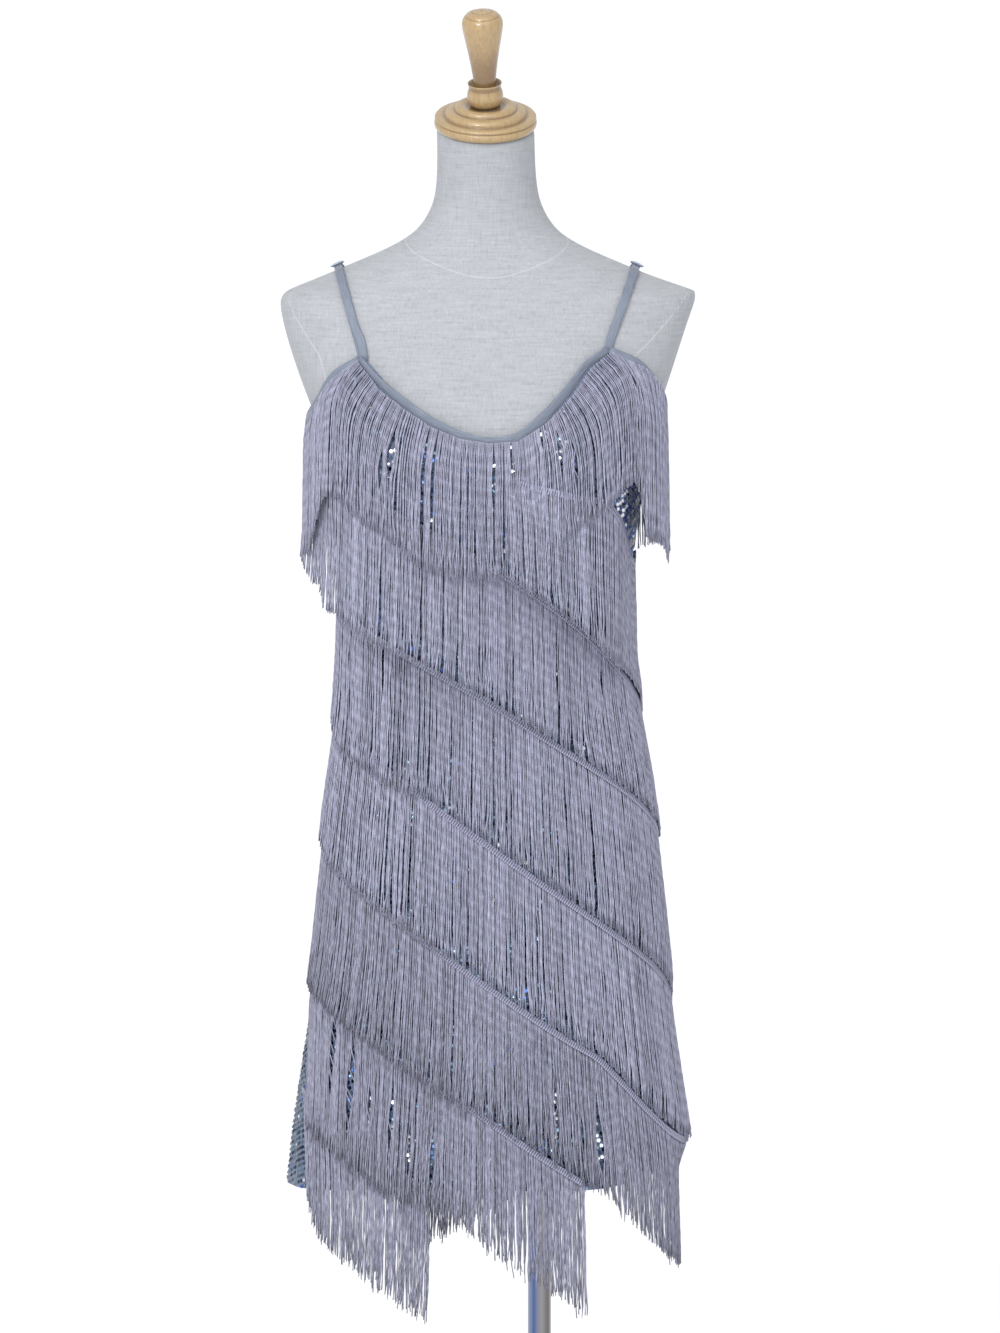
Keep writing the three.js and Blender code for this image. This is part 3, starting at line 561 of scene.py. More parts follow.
def make_clear_nylon():
    """Nylon, injection moulded and clear: milky where it is thick, with small bright highlights."""
    finish, tree = new_finish("clear_moulded_nylon")
    place = add_node(tree, "ShaderNodeTexCoord")
    clouds = add_node(
        tree, "ShaderNodeTexNoise", {"Vector": place.outputs["Object"], "Scale": 1 / NYLON_CLOUD}
    )
    bump = add_node(
        tree,
        "ShaderNodeBump",
        {"Height": clouds.outputs["Fac"], "Strength": 0.1, "Distance": 0.2 * MM},
    )
    shade = add_node(tree, "ShaderNodeValToRGB", {"Fac": clouds.outputs["Fac"]})
    set_stops(shade, [(0.3, "#a3b0c2"), (0.7, "#bac6d6")])
    surface = add_node(
        tree,
        "ShaderNodeBsdfPrincipled",
        {
            "Base Color": shade.outputs["Color"],
            "Roughness": 0.12,
            "IOR": 1.53,
            "Transmission Weight": 0.12,
            "Normal": bump.outputs["Normal"],
        },
    )
    add_node(tree, "ShaderNodeOutputMaterial", {"Surface": surface.outputs["BSDF"]})
    return finish


def make_studio_floor():
    """Paper backdrop, matt: white, with a barely seen tooth."""
    finish, tree = new_finish("matt_paper")
    place = add_node(tree, "ShaderNodeTexCoord")
    tooth = add_node(
        tree, "ShaderNodeTexNoise", {"Vector": place.outputs["Object"], "Scale": 1 / PAPER_TOOTH}
    )
    shade = add_node(tree, "ShaderNodeValToRGB", {"Fac": tooth.outputs["Fac"]})
    set_stops(shade, [(0.3, "#f6f6f7"), (0.7, "#f9f9fa")])
    surface = add_node(
        tree,
        "ShaderNodeBsdfPrincipled",
        {"Base Color": shade.outputs["Color"], "Roughness": 0.95, "Specular IOR Level": 0.1},
    )
    add_node(tree, "ShaderNodeOutputMaterial", {"Surface": surface.outputs["BSDF"]})
    return finish


LINEN_STOPS = [(0.34, "#929599"), (0.46, "#9ea1a5"), (0.56, "#a3a6aa"), (0.68, "#adb0b4")]
PIPING_STOPS = [(0.3, "#a6a9ac"), (0.7, "#b6b9bc")]

VISCOSE = make_viscose_thread()
TAPE = make_header_tape()
ELASTIC = make_satin_elastic()
SEQUIN_FILM = make_sequin_film()
NET = make_stretch_net()
LINEN = make_linen("woven_linen", LINEN_STOPS)
LINEN_PIPING = make_linen("linen_piping", PIPING_STOPS)
BEECH = make_beech()
CHROME = make_chromed_steel()
STEEL = make_brushed_steel()
CLEAR_NYLON = make_clear_nylon()

# ---------------------------------------------------------------------------------------------
# Packed walls

COLUMN_GAP = 0.8  # degrees: a packed wall's columns lie further apart than this


def packed_points(node):
    """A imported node's different points, to the micrometre, and each mesh vertex's place in them."""
    points = np.array([vertex.co[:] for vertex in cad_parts[node].data.vertices])
    return np.unique(np.round(points, 6), axis=0, return_inverse=True)


def turn_and_reach(points):
    """Turn in degrees and reach of points."""
    x = points[..., 0] - BODY_AXIS_X
    y = points[..., 1]
    return np.degrees(np.arctan2(-y, -x)) % 360, np.hypot(x, y)


def body_points(turn, reach, z):
    """Points from their turn, reach and height."""
    angle = np.radians(turn)
    x = BODY_AXIS_X - np.cos(angle) * reach
    y = -np.sin(angle) * reach
    return np.stack(np.broadcast_arrays(x, y, z), axis=-1)


def outward(turn):
    """The level direction away from the axis."""
    angle = np.radians(turn)
    return np.stack([-np.cos(angle), -np.sin(angle), np.zeros_like(angle)], axis=-1)


def sideways(turn):
    """The level direction that a growing turn moves in."""
    angle = np.radians(turn)
    return np.stack([np.sin(angle), -np.cos(angle), np.zeros_like(angle)], axis=-1)


def smooth_rows(where, places, rows):
    """Values on a smooth curve through rows of values at rising places."""
    slopes = np.gradient(rows, places, axis=0)
    low = np.clip(np.searchsorted(places, where, side="right") - 1, 0, len(places) - 2)
    span = places[low + 1] - places[low]
    share = np.clip((where - places[low]) / span, 0, 1)
    fill = (...,) + (None,) * (rows.ndim - 1)
    t = share[fill]
    wide = span[fill]
    return (
        rows[low] * (1 + 2 * t) * (1 - t) ** 2
        + rows[low + 1] * t * t * (3 - 2 * t)
        + slopes[low] * wide * t * (1 - t) ** 2
        - slopes[low + 1] * wide * t * t * (1 - t)
    )


def straight_rows(where, places, rows):
    """Values on straight lines through rows of values at rising places."""
    low = np.clip(np.searchsorted(places, where, side="right") - 1, 0, len(places) - 2)
    share = np.clip((where - places[low]) / (places[low + 1] - places[low]), 0, 1)
    t = share[(...,) + (None,) * (rows.ndim - 1)]
    return rows[low] * (1 - t) + rows[low + 1] * t


class Wall:
    """A packed wall: columns round the body, each with rows of points from top to bottom."""

    def __init__(self, node, smooth_lines=True):
        """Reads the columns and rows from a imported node's points."""
        points, _ = packed_points(node)
        turn, reach = turn_and_reach(points)
        order = np.argsort(turn)
        breaks = np.flatnonzero(np.diff(turn[order]) > COLUMN_GAP) + 1
        columns = np.split(order, breaks)
        self.turns = np.array([turn[column].mean() for column in columns])
        self.heights = []
        self.outer = []
        for column in columns:
            pairs = column[np.argsort(-points[column, 2])].reshape(-1, 2)
            self.heights.append(points[pairs, 2].mean(axis=1))
            self.outer.append(reach[pairs].max(axis=1))
        self.heights = np.array(self.heights)
        self.outer = np.array(self.outer)
        self.lines = smooth_rows if smooth_lines else straight_rows

    def heights_at(self, turn):
        """The rows' heights at a turn."""
        return self.lines(turn, self.turns, self.heights)

    def outer_at(self, turn):
        """The rows' outer reach at a turn."""
        return smooth_rows(turn, self.turns, self.outer)

    def reach_at(self, turn, z):
        """The outer reach at a turn and a height."""
        heights = self.heights_at(turn)
        outer = self.outer_at(turn)
        last = heights.shape[-1] - 2
        row = np.clip((heights > z[..., None]).sum(axis=-1) - 1, 0, last)[..., None]
        high = np.take_along_axis(heights, row, -1)[..., 0]
        low = np.take_along_axis(heights, row + 1, -1)[..., 0]
        share = np.clip((high - z) / (high - low), 0, 1)
        start = np.take_along_axis(outer, row, -1)[..., 0]
        end = np.take_along_axis(outer, row + 1, -1)[..., 0]
        return start + (end - start) * share

    def carried_on(self, ground, turn):
        """Adds a column at an earlier turn, on the same slope and as far off the ground wall."""
        step = self.turns[0] - turn
        slope = (self.heights[1] - self.heights[0]) / (self.turns[1] - self.turns[0])
        heights = self.heights[0] - slope * step
        first = np.full(len(heights), self.turns[0])
        there = np.full(len(heights), turn)
        lift = self.outer[0] - ground.reach_at(first, self.heights[0])
        outer = ground.reach_at(there, heights) + lift
        self.turns = np.concatenate([[turn], self.turns])
        self.heights = np.concatenate([heights[None], self.heights])
        self.outer = np.concatenate([outer[None], self.outer])

    def raised(self, ground, rise):
        """Moves the columns up by their rises, as far off the ground wall as before."""
        turns = np.broadcast_to(self.turns[:, None], self.heights.shape)
        before = ground.reach_at(turns, self.heights)
        self.heights = self.heights + rise[:, None]
        self.outer = self.outer + (ground.reach_at(turns, self.heights) - before)

    def fine_turns(self, steps):
        """Turns from end to end, with so many steps between two columns."""
        places = np.arange((len(self.turns) - 1) * steps + 1) / steps
        return np.interp(places, np.arange(len(self.turns)), self.turns)

    def along_top(self, step):
        """Turns at even steps along the top line, and their distances along it."""
        turns = self.fine_turns(LINE_STEPS)
        line = body_points(turns, self.outer_at(turns)[:, 0], self.heights_at(turns)[:, 0])
        lengths = path_lengths(line)
        count = max(2, round(lengths[-1] / step))
        places = (np.arange(count) + 0.5) * lengths[-1] / count
        return np.interp(places, lengths, turns), places


# ---------------------------------------------------------------------------------------------
# Meshes


def add_piece(name, points, faces, finishes, finish_index=None, attributes=None):
    """Adds a smooth-shaded mesh piece that rides on the one body. Attributes have a value a point."""
    mesh = bpy.data.meshes.new(name)
    mesh.from_pydata(np.asarray(points).reshape(-1, 3).tolist(), [], faces)
    for finish in finishes:
        mesh.materials.append(finish)
    if finish_index is not None:
        mesh.polygons.foreach_set("material_index", finish_index)
    for key, values in (attributes or {}).items():
        layer = mesh.attributes.new(key, "FLOAT", "POINT")
        layer.data.foreach_set("value", np.asarray(values, np.float32).ravel())
    mesh.polygons.foreach_set("use_smooth", [True] * len(mesh.polygons))
    mesh.update()
    piece = bpy.data.objects.new(name, mesh)
    bpy.context.scene.collection.objects.link(piece)
    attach(piece, "root")
    return piece


def swept_faces(tubes, rings, sides):
    """Faces of closed tubes whose points run by tube, ring and side."""
    base = np.arange(tubes)[:, None, None] * rings * sides
    ring = np.arange(rings - 1)[None, :, None] * sides
    side = np.arange(sides)[None, None, :]
    next_side = (side + 1) % sides
    low = base + ring
    quads = np.stack([low + side, low + next_side, low + sides + next_side, low + sides + side], -1)
    start = base[:, 0]
    heads = start + np.arange(sides)[None, ::-1]
    tails = start + (rings - 1) * sides + np.arange(sides)[None, :]
    return quads.reshape(-1, 4).tolist() + heads.tolist() + tails.tolist()


def section_points(sides, squareness=2.0):
    """A closed section from -1 to 1 both ways: an oval, and nearer a box the squarer it is."""
    angle = np.arange(sides) * math.tau / sides + math.pi / sides
    power = 2 / squareness
    across = np.sign(np.cos(angle)) * np.abs(np.cos(angle)) ** power
    out = np.sign(np.sin(angle)) * np.abs(np.sin(angle)) ** power
    return across, out


def sweep(path, across, out, half_width, half_height, sides, squareness=2.0):
    """Points of tubes along paths of points, with a section of the given half sizes."""
    section_across, section_out = section_points(sides, squareness)
    wide = np.broadcast_to(half_width, path.shape[:-1])[..., None, None]
    high = np.broadcast_to(half_height, path.shape[:-1])[..., None, None]
    return (
        path[..., None, :]
        + across[..., None, :] * wide * section_across[:, None]
        + out[..., None, :] * high * section_out[:, None]
    )


def tube(path, across, out, half_width, half_height, sides, squareness, first=0):
    """One closed tube along a path: its points, and its faces numbered from first."""
    points = sweep(path, across, out, half_width, half_height, sides, squareness).reshape(-1, 3)
    faces = swept_faces(1, len(path), sides)
    corners = np.array(faces[: (len(path) - 1) * sides])
    a, b, c, d = (points[corners[:, place]] - points.mean(axis=0) for place in range(4))
    volume = (a * (np.cross(b, c) + np.cross(c, d))).sum()
    turned = faces if volume > 0 else [face[::-1] for face in faces]
    return points, [[corner + first for corner in face] for face in turned]


def unit(vectors):
    """The vectors' directions, with length 1."""
    return vectors / np.linalg.norm(vectors, axis=-1, keepdims=True)


def path_frame(path, outward_hint):
    """Across and out directions along one path, square to it."""
    along = unit(np.gradient(path, axis=0))
    across = unit(np.cross(outward_hint, along))
    return across, np.cross(along, across)


def path_lengths(path):
    """The distance along a path to each of its points."""
    steps = np.linalg.norm(np.diff(path, axis=0), axis=1)
    return np.concatenate([[0], np.cumsum(steps)])


# ---------------------------------------------------------------------------------------------
# Fringe

# Places on the front where the threads part, and the sequins behind have glints painted into their
# colour: millimetres to the right of the body's axis, the height in metres, how far threads are pushed
# aside and half the parting's height in millimetres, and the tone of the painted glints.
# tones on the sequin ramp: WHITE and BLUE are painted glints, and TEAL is the lightest of the discs' own
# tones
WHITE, BLUE, TEAL = 0.92, 0.74, 0.6
PARTINGS = [
    {"x": x, "z": z, "half_width": half_width, "half_height": half_height, "painted_glint": painted_glint}
    for x, z, half_width, half_height, painted_glint in (
        (-88, 1.153, 2.5, 15, WHITE),
        (-95, 1.141, 1.6, 13, WHITE),
        (131, 1.216, 1.4, 4, WHITE),
        (-60, 1.135, 0.9, 30, BLUE),
        (-51, 1.128, 1.0, 34, BLUE),
        (-19, 1.110, 0.9, 42, BLUE),
        (4, 1.128, 1.3, 30, WHITE),
        (21, 1.150, 1.2, 15, WHITE),
        (51, 1.168, 1.3, 9, WHITE),
        (65, 1.157, 1.7, 12, WHITE),
        (76, 1.143, 1.4, 20, TEAL),
        (-98, 0.985, 1.0, 60, TEAL),
        (84, 0.876, 1.2, 12, WHITE),
        (62, 0.952, 1.0, 14, WHITE),
        (106, 0.942, 1.2, 16, TEAL),
        (45, 0.733, 0.9, 12, TEAL),
        (-150, 0.600, 1.4, 36, TEAL),
        (-131, 0.567, 2.0, 34, BLUE),
        (-112, 0.548, 1.1, 20, WHITE),
        (-91, 0.535, 1.3, 34, WHITE),
        (-73, 0.511, 1.6, 20, WHITE),
        (-52, 0.505, 1.8, 24, TEAL),
        (61, 0.545, 1.6, 24, WHITE),
        (84, 0.528, 1.2, 16, TEAL),
        (101, 0.517, 2.4, 26, WHITE),
    )
]
PARTING_SOFTNESS = 2.2  # how far the push reaches, for a half width of 1

# Steps down a thread: the share of its length where each starts, and the share that it rises over.
FREE_OF_TAPE = (0, 0.12)
LOOSE_TIP = (0.72, 0.28)
CLUMPED = (0, 0.15)
STRAY_TIP = (0.7, 0.3)
PAST_BINDING = (0, 0.2)
TUCKED = (0, 0.3)
# where the painted shade of the tips sets in
PAINTED_SHADE_TIP = (0.6, 0.4)

TIP_LOOSENESS = 1.3  # more than a thread's middle has
UNDER_SHARE = 0.4  # of the threads lie in the under layer
UNDER_DEPTH = 1.3 * MM  # inside the wall's outer face
UPPER_DEPTH = 0.3 * MM
CLUMP_SIZES = (2, 7)  # threads, the second number not included
CLUMP_TIGHTNESS = (0.03, 0.34)
CLUMP_DRIFT = 0.5 * MM
CLUMP_SHARES = (0.35, 0.65)  # of the pull near the head, and toward the tip
CLUMP_CURVE = 1.5  # the higher, the nearer the tip it comes
SIDE_WAVE = (0.05, 0.4)  # millimetres, as are the next two
DEPTH_WAVE = (0.05, 0.25)
WAVE_LENGTHS = (40, 80)
SIDE_JITTER = 0.09 * MM
DEPTH_JITTER = 0.12 * MM
TIP_STRAY = 1.2 * MM
SHORT_SHARE, SHORT_BY = 0.14, (1, 4)  # of the threads are this much shorter, for a raggedness of 1
LONG_SHARE, LONG_BY = 0.05, (1, 3)
TIP_SWING = 2.4 * MM  # how far the tips stand off at the front and back
SIDE_SWING = 0.3  # of it at the sides
HEAD_LIFT = 0.8 * MM  # of the top fringe's heads, over the binding
HEAD_RIDE = 0.35  # more lift, for each unit that they cover it
LEAN_SHARE = 0.36  # of a leaning thread's length, in which it slips to its new place
OVERHANG = 1.2  # degrees that a thread may leave a wall's end by
LEAST_FACING = 0.3  # a parting's push grows no more where the wall turns away
PLUMB_SHARE = 0.6  # of a wall's flare that the top fringe follows, as it hangs free of the body
PLUMB_CURVE = 2.4  # the higher, the nearer the head it does so
FLARE_CURVE = 0.8
RADIUS_SPREAD = (0.85, 1.1)
RADIUS_TAPER = 0.1
TAPER_RATE = 1.2  # it is all there at 1 / 1.2 of the length
TIP_THINNESS = 0.75
MIDDLE_TONE = 0.5
TONE_SPREAD = 0.13
# painted shade: threads of the under layer are darkened by this, for the shade of the layer over them
UNDER_PAINTED_SHADE = 0.1
TIP_PAINTED_SHADE = 0.02  # painted shade: a thread's tone falls by this toward its tip, where the loose ends catch less light
HEM_TIP_PAINTED_SHADE = 0.14  # and by this in the rows that hang below the hem

TOP_START = 3 * MM  # of the top fringe's heads, over its wall's top
HEM_RAGGEDNESS = 2.8 * MM
# painted shade: the rows that hang below the hem are made darker, for the lesser light low down
HEM_PAINTED_SHADE_TONE = -0.2
FRONT_SEED, BACK_SEED = 31, 41  # of the first rows' random draws

FIRST_ROW_TURN = 98  # the first row's header starts here, under the top fringe
SECOND_ROW_TURN = 7  # and the second row's here
# The turns where the header tape under each front row comes out from behind the row's tips.
TAPE_SHOWS_FROM = [84, 48, 52, 62, 80, 90]
TOP_SHOWS_FROM = 180  # none shows along the top fringe's tips
BACK_TAPE_SHOWS_FROM = 0  # all of them show at the back
TAPE_SHOWS_OVER = 14  # degrees
TAPE_GAP = 0.5 * MM  # tips stop this far above a tape that shows, and above the foot of a hidden one
# Tips reach down to the next tape from this high above it, and less and less over this much more.
# Both are shares of the longest extra.
REACHES_NEXT = (1.2, 0.3)
# The line of the top fringe's tips round the right arm: turns and heights in metres.
UNDERARM_LINE = (
    (127, 129, 136, 139, 143.5, 147.5, 150, 151.4, 160, 164, 169, 190, 214),
    (1.02, 1.089, 1.101, 1.112, 1.121, 1.124, 1.112, 1.074, 1.063, 1.048, 1.06, 1.06, 1.04),
)
CHEST_HALF_WIDTH = 135 * MM
# The top fringe's lean over the bust, at the left and at the right: how far from the middle it
# starts and how far the threads slip, in millimetres.
LEAN_STARTS, LEAN_SLIPS = (70, 50), (-10, 13)
# How far the first row's header is drawn up toward the right arm: turns and millimetres.
FIRST_ROW_DRAWN_UP = ((126, 136, 144, 153, 160, 167, 174, 180), (0, 4, 14, 26, 26, 20, 10, 0))
# How much shorter the sixth row is, most of all at the seventh row's right end: turns and
# millimetres.
SIXTH_ROW_RISE = ((55, 66, 75, 90, 128), (0, 17, 14, 9, 5))


def ease(value):
    """A smooth step from 0 to 1."""
    t = np.clip(value, 0, 1)
    return t * t * (3 - 2 * t)


def ramp(value, start, over):
    """A smooth step from 0 to 1 that begins at start and rises over a span."""
    return ease((value - start) / over)


@dataclass
class Hang:
    """How a row's threads hang. The functions take turns, and give metres if nothing else is said."""

    below: Wall = None  # the next row's wall, whose tape the tips stop at
    shows_from: float = BACK_TAPE_SHOWS_FROM  # the turn where that tape comes into sight
    pitch: float = THREAD_PITCH
    start: float = -0.6 * MM  # of the heads over the wall's top
    cover: Callable = None  # how much higher the heads start
    ragged: float = 0.9 * MM  # how uneven the tips are
    shorter: Callable = None
    line: Callable = None  # the heights that the tips keep above
    lean: Callable = None  # how far a thread slips sideways
    upright: Callable = None  # how nearly it hangs straight down where the wall flares: 0 to 1
    flare: Callable = None  # how far the tips stand out
    tuck: Callable = None  # how far a thread hangs in from the wall
    plumb: bool = False  # whether the row hangs free of the body
    parted: bool = False  # whether the partings push its threads
    tone: float = 0.0  # of its threads, from the middle tone
    # painted shade toward the tips
    tip_painted_shade: float = TIP_PAINTED_SHADE


def clump_pull(places, random):
    """How far each thread leans toward its neighbours at its tip, in metres."""
    count = len(places)
    sizes = random.integers(*CLUMP_SIZES, size=count)
    clump = np.minimum(np.searchsorted(np.cumsum(sizes), np.arange(count), side="right"), count - 1)
    members = np.bincount(clump, minlength=count)
    middles = np.bincount(clump, weights=places, minlength=count) / np.maximum(members, 1)
    tightness = random.uniform(*CLUMP_TIGHTNESS, size=count)
    drift = random.normal(0, CLUMP_DRIFT, size=count)
    return (middles[clump] - places) * tightness[clump] + drift[clump]


def parting_push(x, z):
    """How far the partings push a thread aside at a place on the front, in metres."""
    push = np.zeros(np.broadcast(x, z).shape)
    for parting in PARTINGS:
        off = x - parting["x"] * MM
        width = parting["half_width"] * MM
        high = (z - parting["z"]) / (parting["half_height"] * MM)
        near = np.exp(-((off / (PARTING_SOFTNESS * width)) ** 2) - high * high)
        push = push + np.sign(off) * width * near
    return push


def waves(random, count, length, amplitude, wavelength):
    """Each thread's own slow wave along its length, in metres."""
    height = random.uniform(*amplitude, size=(count, 1)) * MM
    wave = random.uniform(*wavelength, size=(count, 1)) * MM
    phase = random.uniform(0, math.tau, size=(count, 1))
    return height * np.sin(phase + length * math.tau / wave)


def turn_behind(turn, reach, below):
    """The turn where a lower row's top lies straight behind a thread's tip, seen from the front."""
    x = -np.cos(np.radians(turn)) * reach
    behind = turn
    for _ in range(4):  # each pass comes closer
        ratio = np.clip(-x / below.outer_at(behind)[:, 0], -0.99, 0.99)
        behind = np.degrees(np.arccos(ratio))
    on_front = ramp(np.sin(np.radians(turn)), start=0, over=0.5)
    return turn + (behind - turn) * on_front


def thread_feet(wall, turn, below, shows_from):
    """The heights where threads end: at the wall's foot, or near it where the next tape runs."""
    foot = wall.heights_at(turn)[:, -1]
    if below is None:
        return foot
    seen = turn_behind(turn, wall.outer_at(turn)[:, -1], below)
    next_top = below.heights_at(seen)[:, 0]
    shown = ramp(turn, shows_from, TAPE_SHOWS_OVER)
    overlap = TAPE_WIDTH * (1 - shown) - TAPE_GAP
    change = np.clip(next_top - overlap - foot, -LONGEST_EXTRA, MOST_TRIM * shown)
    start, over = REACHES_NEXT
    near_next = 1 - ease((foot - next_top - start * LONGEST_EXTRA) / (over * LONGEST_EXTRA))
    over_next = (turn > below.turns[0]) & (turn < below.turns[-1])
    return foot + np.where(over_next, change * near_next, 0)


def kept_upright(wall, bent, z, share):
    """Turns for threads that hang straight down as seen from the front, though the wall flares."""
    low, high = wall.turns[0], wall.turns[-1]
    reach = wall.reach_at(np.clip(bent, low, high), z)
    narrowing = 1 - share * (1 - np.minimum(reach[:, :1] / reach, 1))
    from_left = np.degrees(np.arccos(np.cos(np.radians(bent)) * narrowing))
    return np.where(bent > 180, 360 - from_left, from_left)


def thread_shift(random, places, share, loose):
    """How far threads stray along the row, from head to tip, in metres."""
    count = len(places)
    head, tip = CLUMP_SHARES
    shift = clump_pull(places, random)[:, None] * (head * ramp(share, *CLUMPED) + tip * share**CLUMP_CURVE)
    shift = shift + waves(random, count, share * THREAD_LENGTH, SIDE_WAVE, WAVE_LENGTHS) * loose
    shift = shift + random.normal(0, SIDE_JITTER, size=(count, THREAD_POINTS)) * loose
    return shift + random.normal(0, TIP_STRAY, size=(count, 1)) * ramp(share, *STRAY_TIP) ** 2


def ragged_ends(random, count):
    """How much shorter or longer threads are than their row, for a raggedness of 1."""
    short = np.where(random.random(count) < SHORT_SHARE, random.uniform(*SHORT_BY, size=count), 0)
    long = np.where(random.random(count) < LONG_SHARE, random.uniform(*LONG_BY, size=count), 0)
    return random.normal(0, 1, size=count) + short - long


def thread_depth(random, turn, under, share, loose):
    """How far threads stand off the wall's outer face, from head to tip, in metres."""
    count = len(turn)
    depth = np.where(under, -UNDER_DEPTH, -UPPER_DEPTH)[:, None]
    depth = depth + random.normal(0, DEPTH_JITTER, size=(count, THREAD_POINTS)) * loose
    depth = depth + waves(random, count, share * THREAD_LENGTH, DEPTH_WAVE, WAVE_LENGTHS)
    facing = np.abs(np.sin(np.radians(turn[:, None])))
    return depth + TIP_SWING * share**2 * (SIDE_SWING + (1 - SIDE_SWING) * facing)


def thread_paths(wall, random, row):
    """Hanging threads along a wall's top line: turns, points, radii, tones and distances fallen."""
    turn, places = wall.along_top(row.pitch)
    count = len(turn)
    share = np.linspace(0, 1, THREAD_POINTS)[None, :]
    loose = ramp(share, *FREE_OF_TAPE) * (1 + TIP_LOOSENESS * ramp(share, *LOOSE_TIP))
    under = random.random(count) < UNDER_SHARE
    cover = row.cover(turn)[:, None] if row.cover else 0.0
    top = wall.heights_at(turn)[:, :1] + row.start + cover
    reach = wall.outer_at(turn)[:, 2:3]
    shift = thread_shift(random, places, share, loose)
    ragged = ragged_ends(random, count) * row.ragged
    depth = thread_depth(random, turn, under, share, loose)
    if row.start > 0:
        depth = depth + (HEAD_LIFT + HEAD_RIDE * cover) * (1 - ramp(share, *PAST_BINDING))
    if row.lean:
        shift = shift + row.lean(turn)[:, None] * (1 - (1 - np.clip(share / LEAN_SHARE, 0, 1)) ** 2)
    low, high = wall.turns[0], wall.turns[-1]
    bent = np.clip(turn[:, None] + np.degrees(shift / reach), low - OVERHANG, high + OVERHANG)
    foot_turn = np.clip(bent[:, -1], low, high)
    foot = thread_feet(wall, foot_turn, row.below, row.shows_from)[:, None]
    if row.shorter:
        foot = foot + row.shorter(turn)[:, None]
    if row.line:
        foot = np.maximum(foot, row.line(foot_turn)[:, None])
    z = top + (foot + ragged[:, None] - top) * share
    if row.upright:
        bent = kept_upright(wall, bent, z, row.upright(turn)[:, None])
    if row.parted:
        x = -np.cos(np.radians(bent)) * reach
        facing = np.maximum(np.sin(np.radians(bent)), LEAST_FACING)
        bent = bent + np.degrees(parting_push(x, z) / (reach * facing))
    wall_z = z
    if row.plumb:
        wall_z = top + (foot - top) * PLUMB_SHARE * (1 - (1 - share) ** PLUMB_CURVE)
    reach_here = wall.reach_at(np.clip(bent, low, high), wall_z)
    if row.flare:
        reach_here = reach_here + row.flare(bent) * share**FLARE_CURVE
    if row.tuck:
        reach_here = reach_here - row.tuck(bent) * ramp(share, *TUCKED)
    path = body_points(bent, reach_here + depth, z)
    radius = THREAD_RADIUS * random.uniform(*RADIUS_SPREAD, size=(count, 1))
    radius = radius * (1 - RADIUS_TAPER * ease(share * TAPER_RATE))
    radius[:, -1] *= TIP_THINNESS
    # painted shade: threads of the under layer are darker than the upper ones
    tone = MIDDLE_TONE + row.tone + random.normal(0, TONE_SPREAD, size=count) - UNDER_PAINTED_SHADE * under
    # painted shade: each thread darkens toward its tip
    tone = np.clip(tone[:, None] - row.tip_painted_shade * ramp(share, *PAINTED_SHADE_TIP), 0, 1)
    return turn, path, radius, tone, top - z


def tape_path(wall, step):
    """The header tape's middle line along a wall's top edge, and its across and out directions."""
    turn, _ = wall.along_top(step)
    turn[0] = wall.turns[0]
    turn[-1] = wall.turns[-1]
    edge = body_points(turn, wall.outer_at(turn)[:, 0], wall.heights_at(turn)[:, 0])
    lower_z = wall.heights_at(turn)[:, 0] - TAPE_WIDTH
    lower = body_points(turn, wall.reach_at(turn, lower_z), lower_z)
    down = unit(lower - edge)
    across, out = path_frame(edge, outward(turn))
    across = across * np.sign((across * down).sum(axis=-1, keepdims=True))
    return edge + across * TAPE_WIDTH / 2 + out * TAPE_LIFT, across, out


def add_fringe(node, seed, wall=None, has_tape=True, **changes):
    """A row of threads in the place of a packed row, with a header tape if it has one."""
    wall = wall or Wall(node, smooth_lines=has_tape)
    random = np.random.default_rng(seed)
    row = Hang(parted="front" in node, **changes)
    turn, centre, radius, tone, fallen = thread_paths(wall, random, row)
    count = len(turn)
    twist = random.uniform(0, math.tau, size=(count, 1)) + np.arange(THREAD_POINTS) * THREAD_TWIST
    twist = twist[..., None]
    side_way = np.broadcast_to(sideways(turn)[:, None, :], centre.shape)
    out_way = np.broadcast_to(outward(turn)[:, None, :], centre.shape)
    across = side_way * np.cos(twist) + out_way * np.sin(twist)
    out = out_way * np.cos(twist) - side_way * np.sin(twist)
    wide, high = THREAD_FLATNESS
    points = sweep(centre, across, out, radius * wide, radius * high, THREAD_SIDES).reshape(-1, 3)
    faces = swept_faces(count, THREAD_POINTS, THREAD_SIDES)
    tones = np.repeat(tone.ravel(), THREAD_SIDES)
    along = np.repeat(fallen.ravel(), THREAD_SIDES)
    sides = np.zeros(len(points))
    index = np.zeros(len(faces), int)
    finishes = [VISCOSE]
    if has_tape:
        middle, tape_across, tape_out = tape_path(wall, TAPE_STITCH / 2)
        half_height = TAPE_THICKNESS / 2 * (1 + TAPE_RIB * (-1.0) ** np.arange(len(middle)))
        section = (TAPE_WIDTH / 2, half_height, TAPE_SIDES, TAPE_SQUARENESS)
        tape, tape_faces = tube(middle, tape_across, tape_out, *section, len(points))
        section_across, _ = section_points(TAPE_SIDES, TAPE_SQUARENESS)
        points = np.concatenate([points, tape])
        faces = faces + tape_faces
        tones = np.concatenate([tones, np.full(len(tape), MIDDLE_TONE)])
        along = np.concatenate([along, np.repeat(path_lengths(middle), TAPE_SIDES)])
        sides = np.concatenate([sides, np.tile(section_across * TAPE_WIDTH / 2, len(middle))])
        index = np.concatenate([index, np.ones(len(tape_faces), int)])
        finishes.append(TAPE)
    attributes = {"tone": tones, "along": along, "across": sides}
    name = node.replace("fringe_", "threads_")
    piece = add_piece(name, points, faces, finishes, index, attributes)
    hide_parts(node)
    return piece


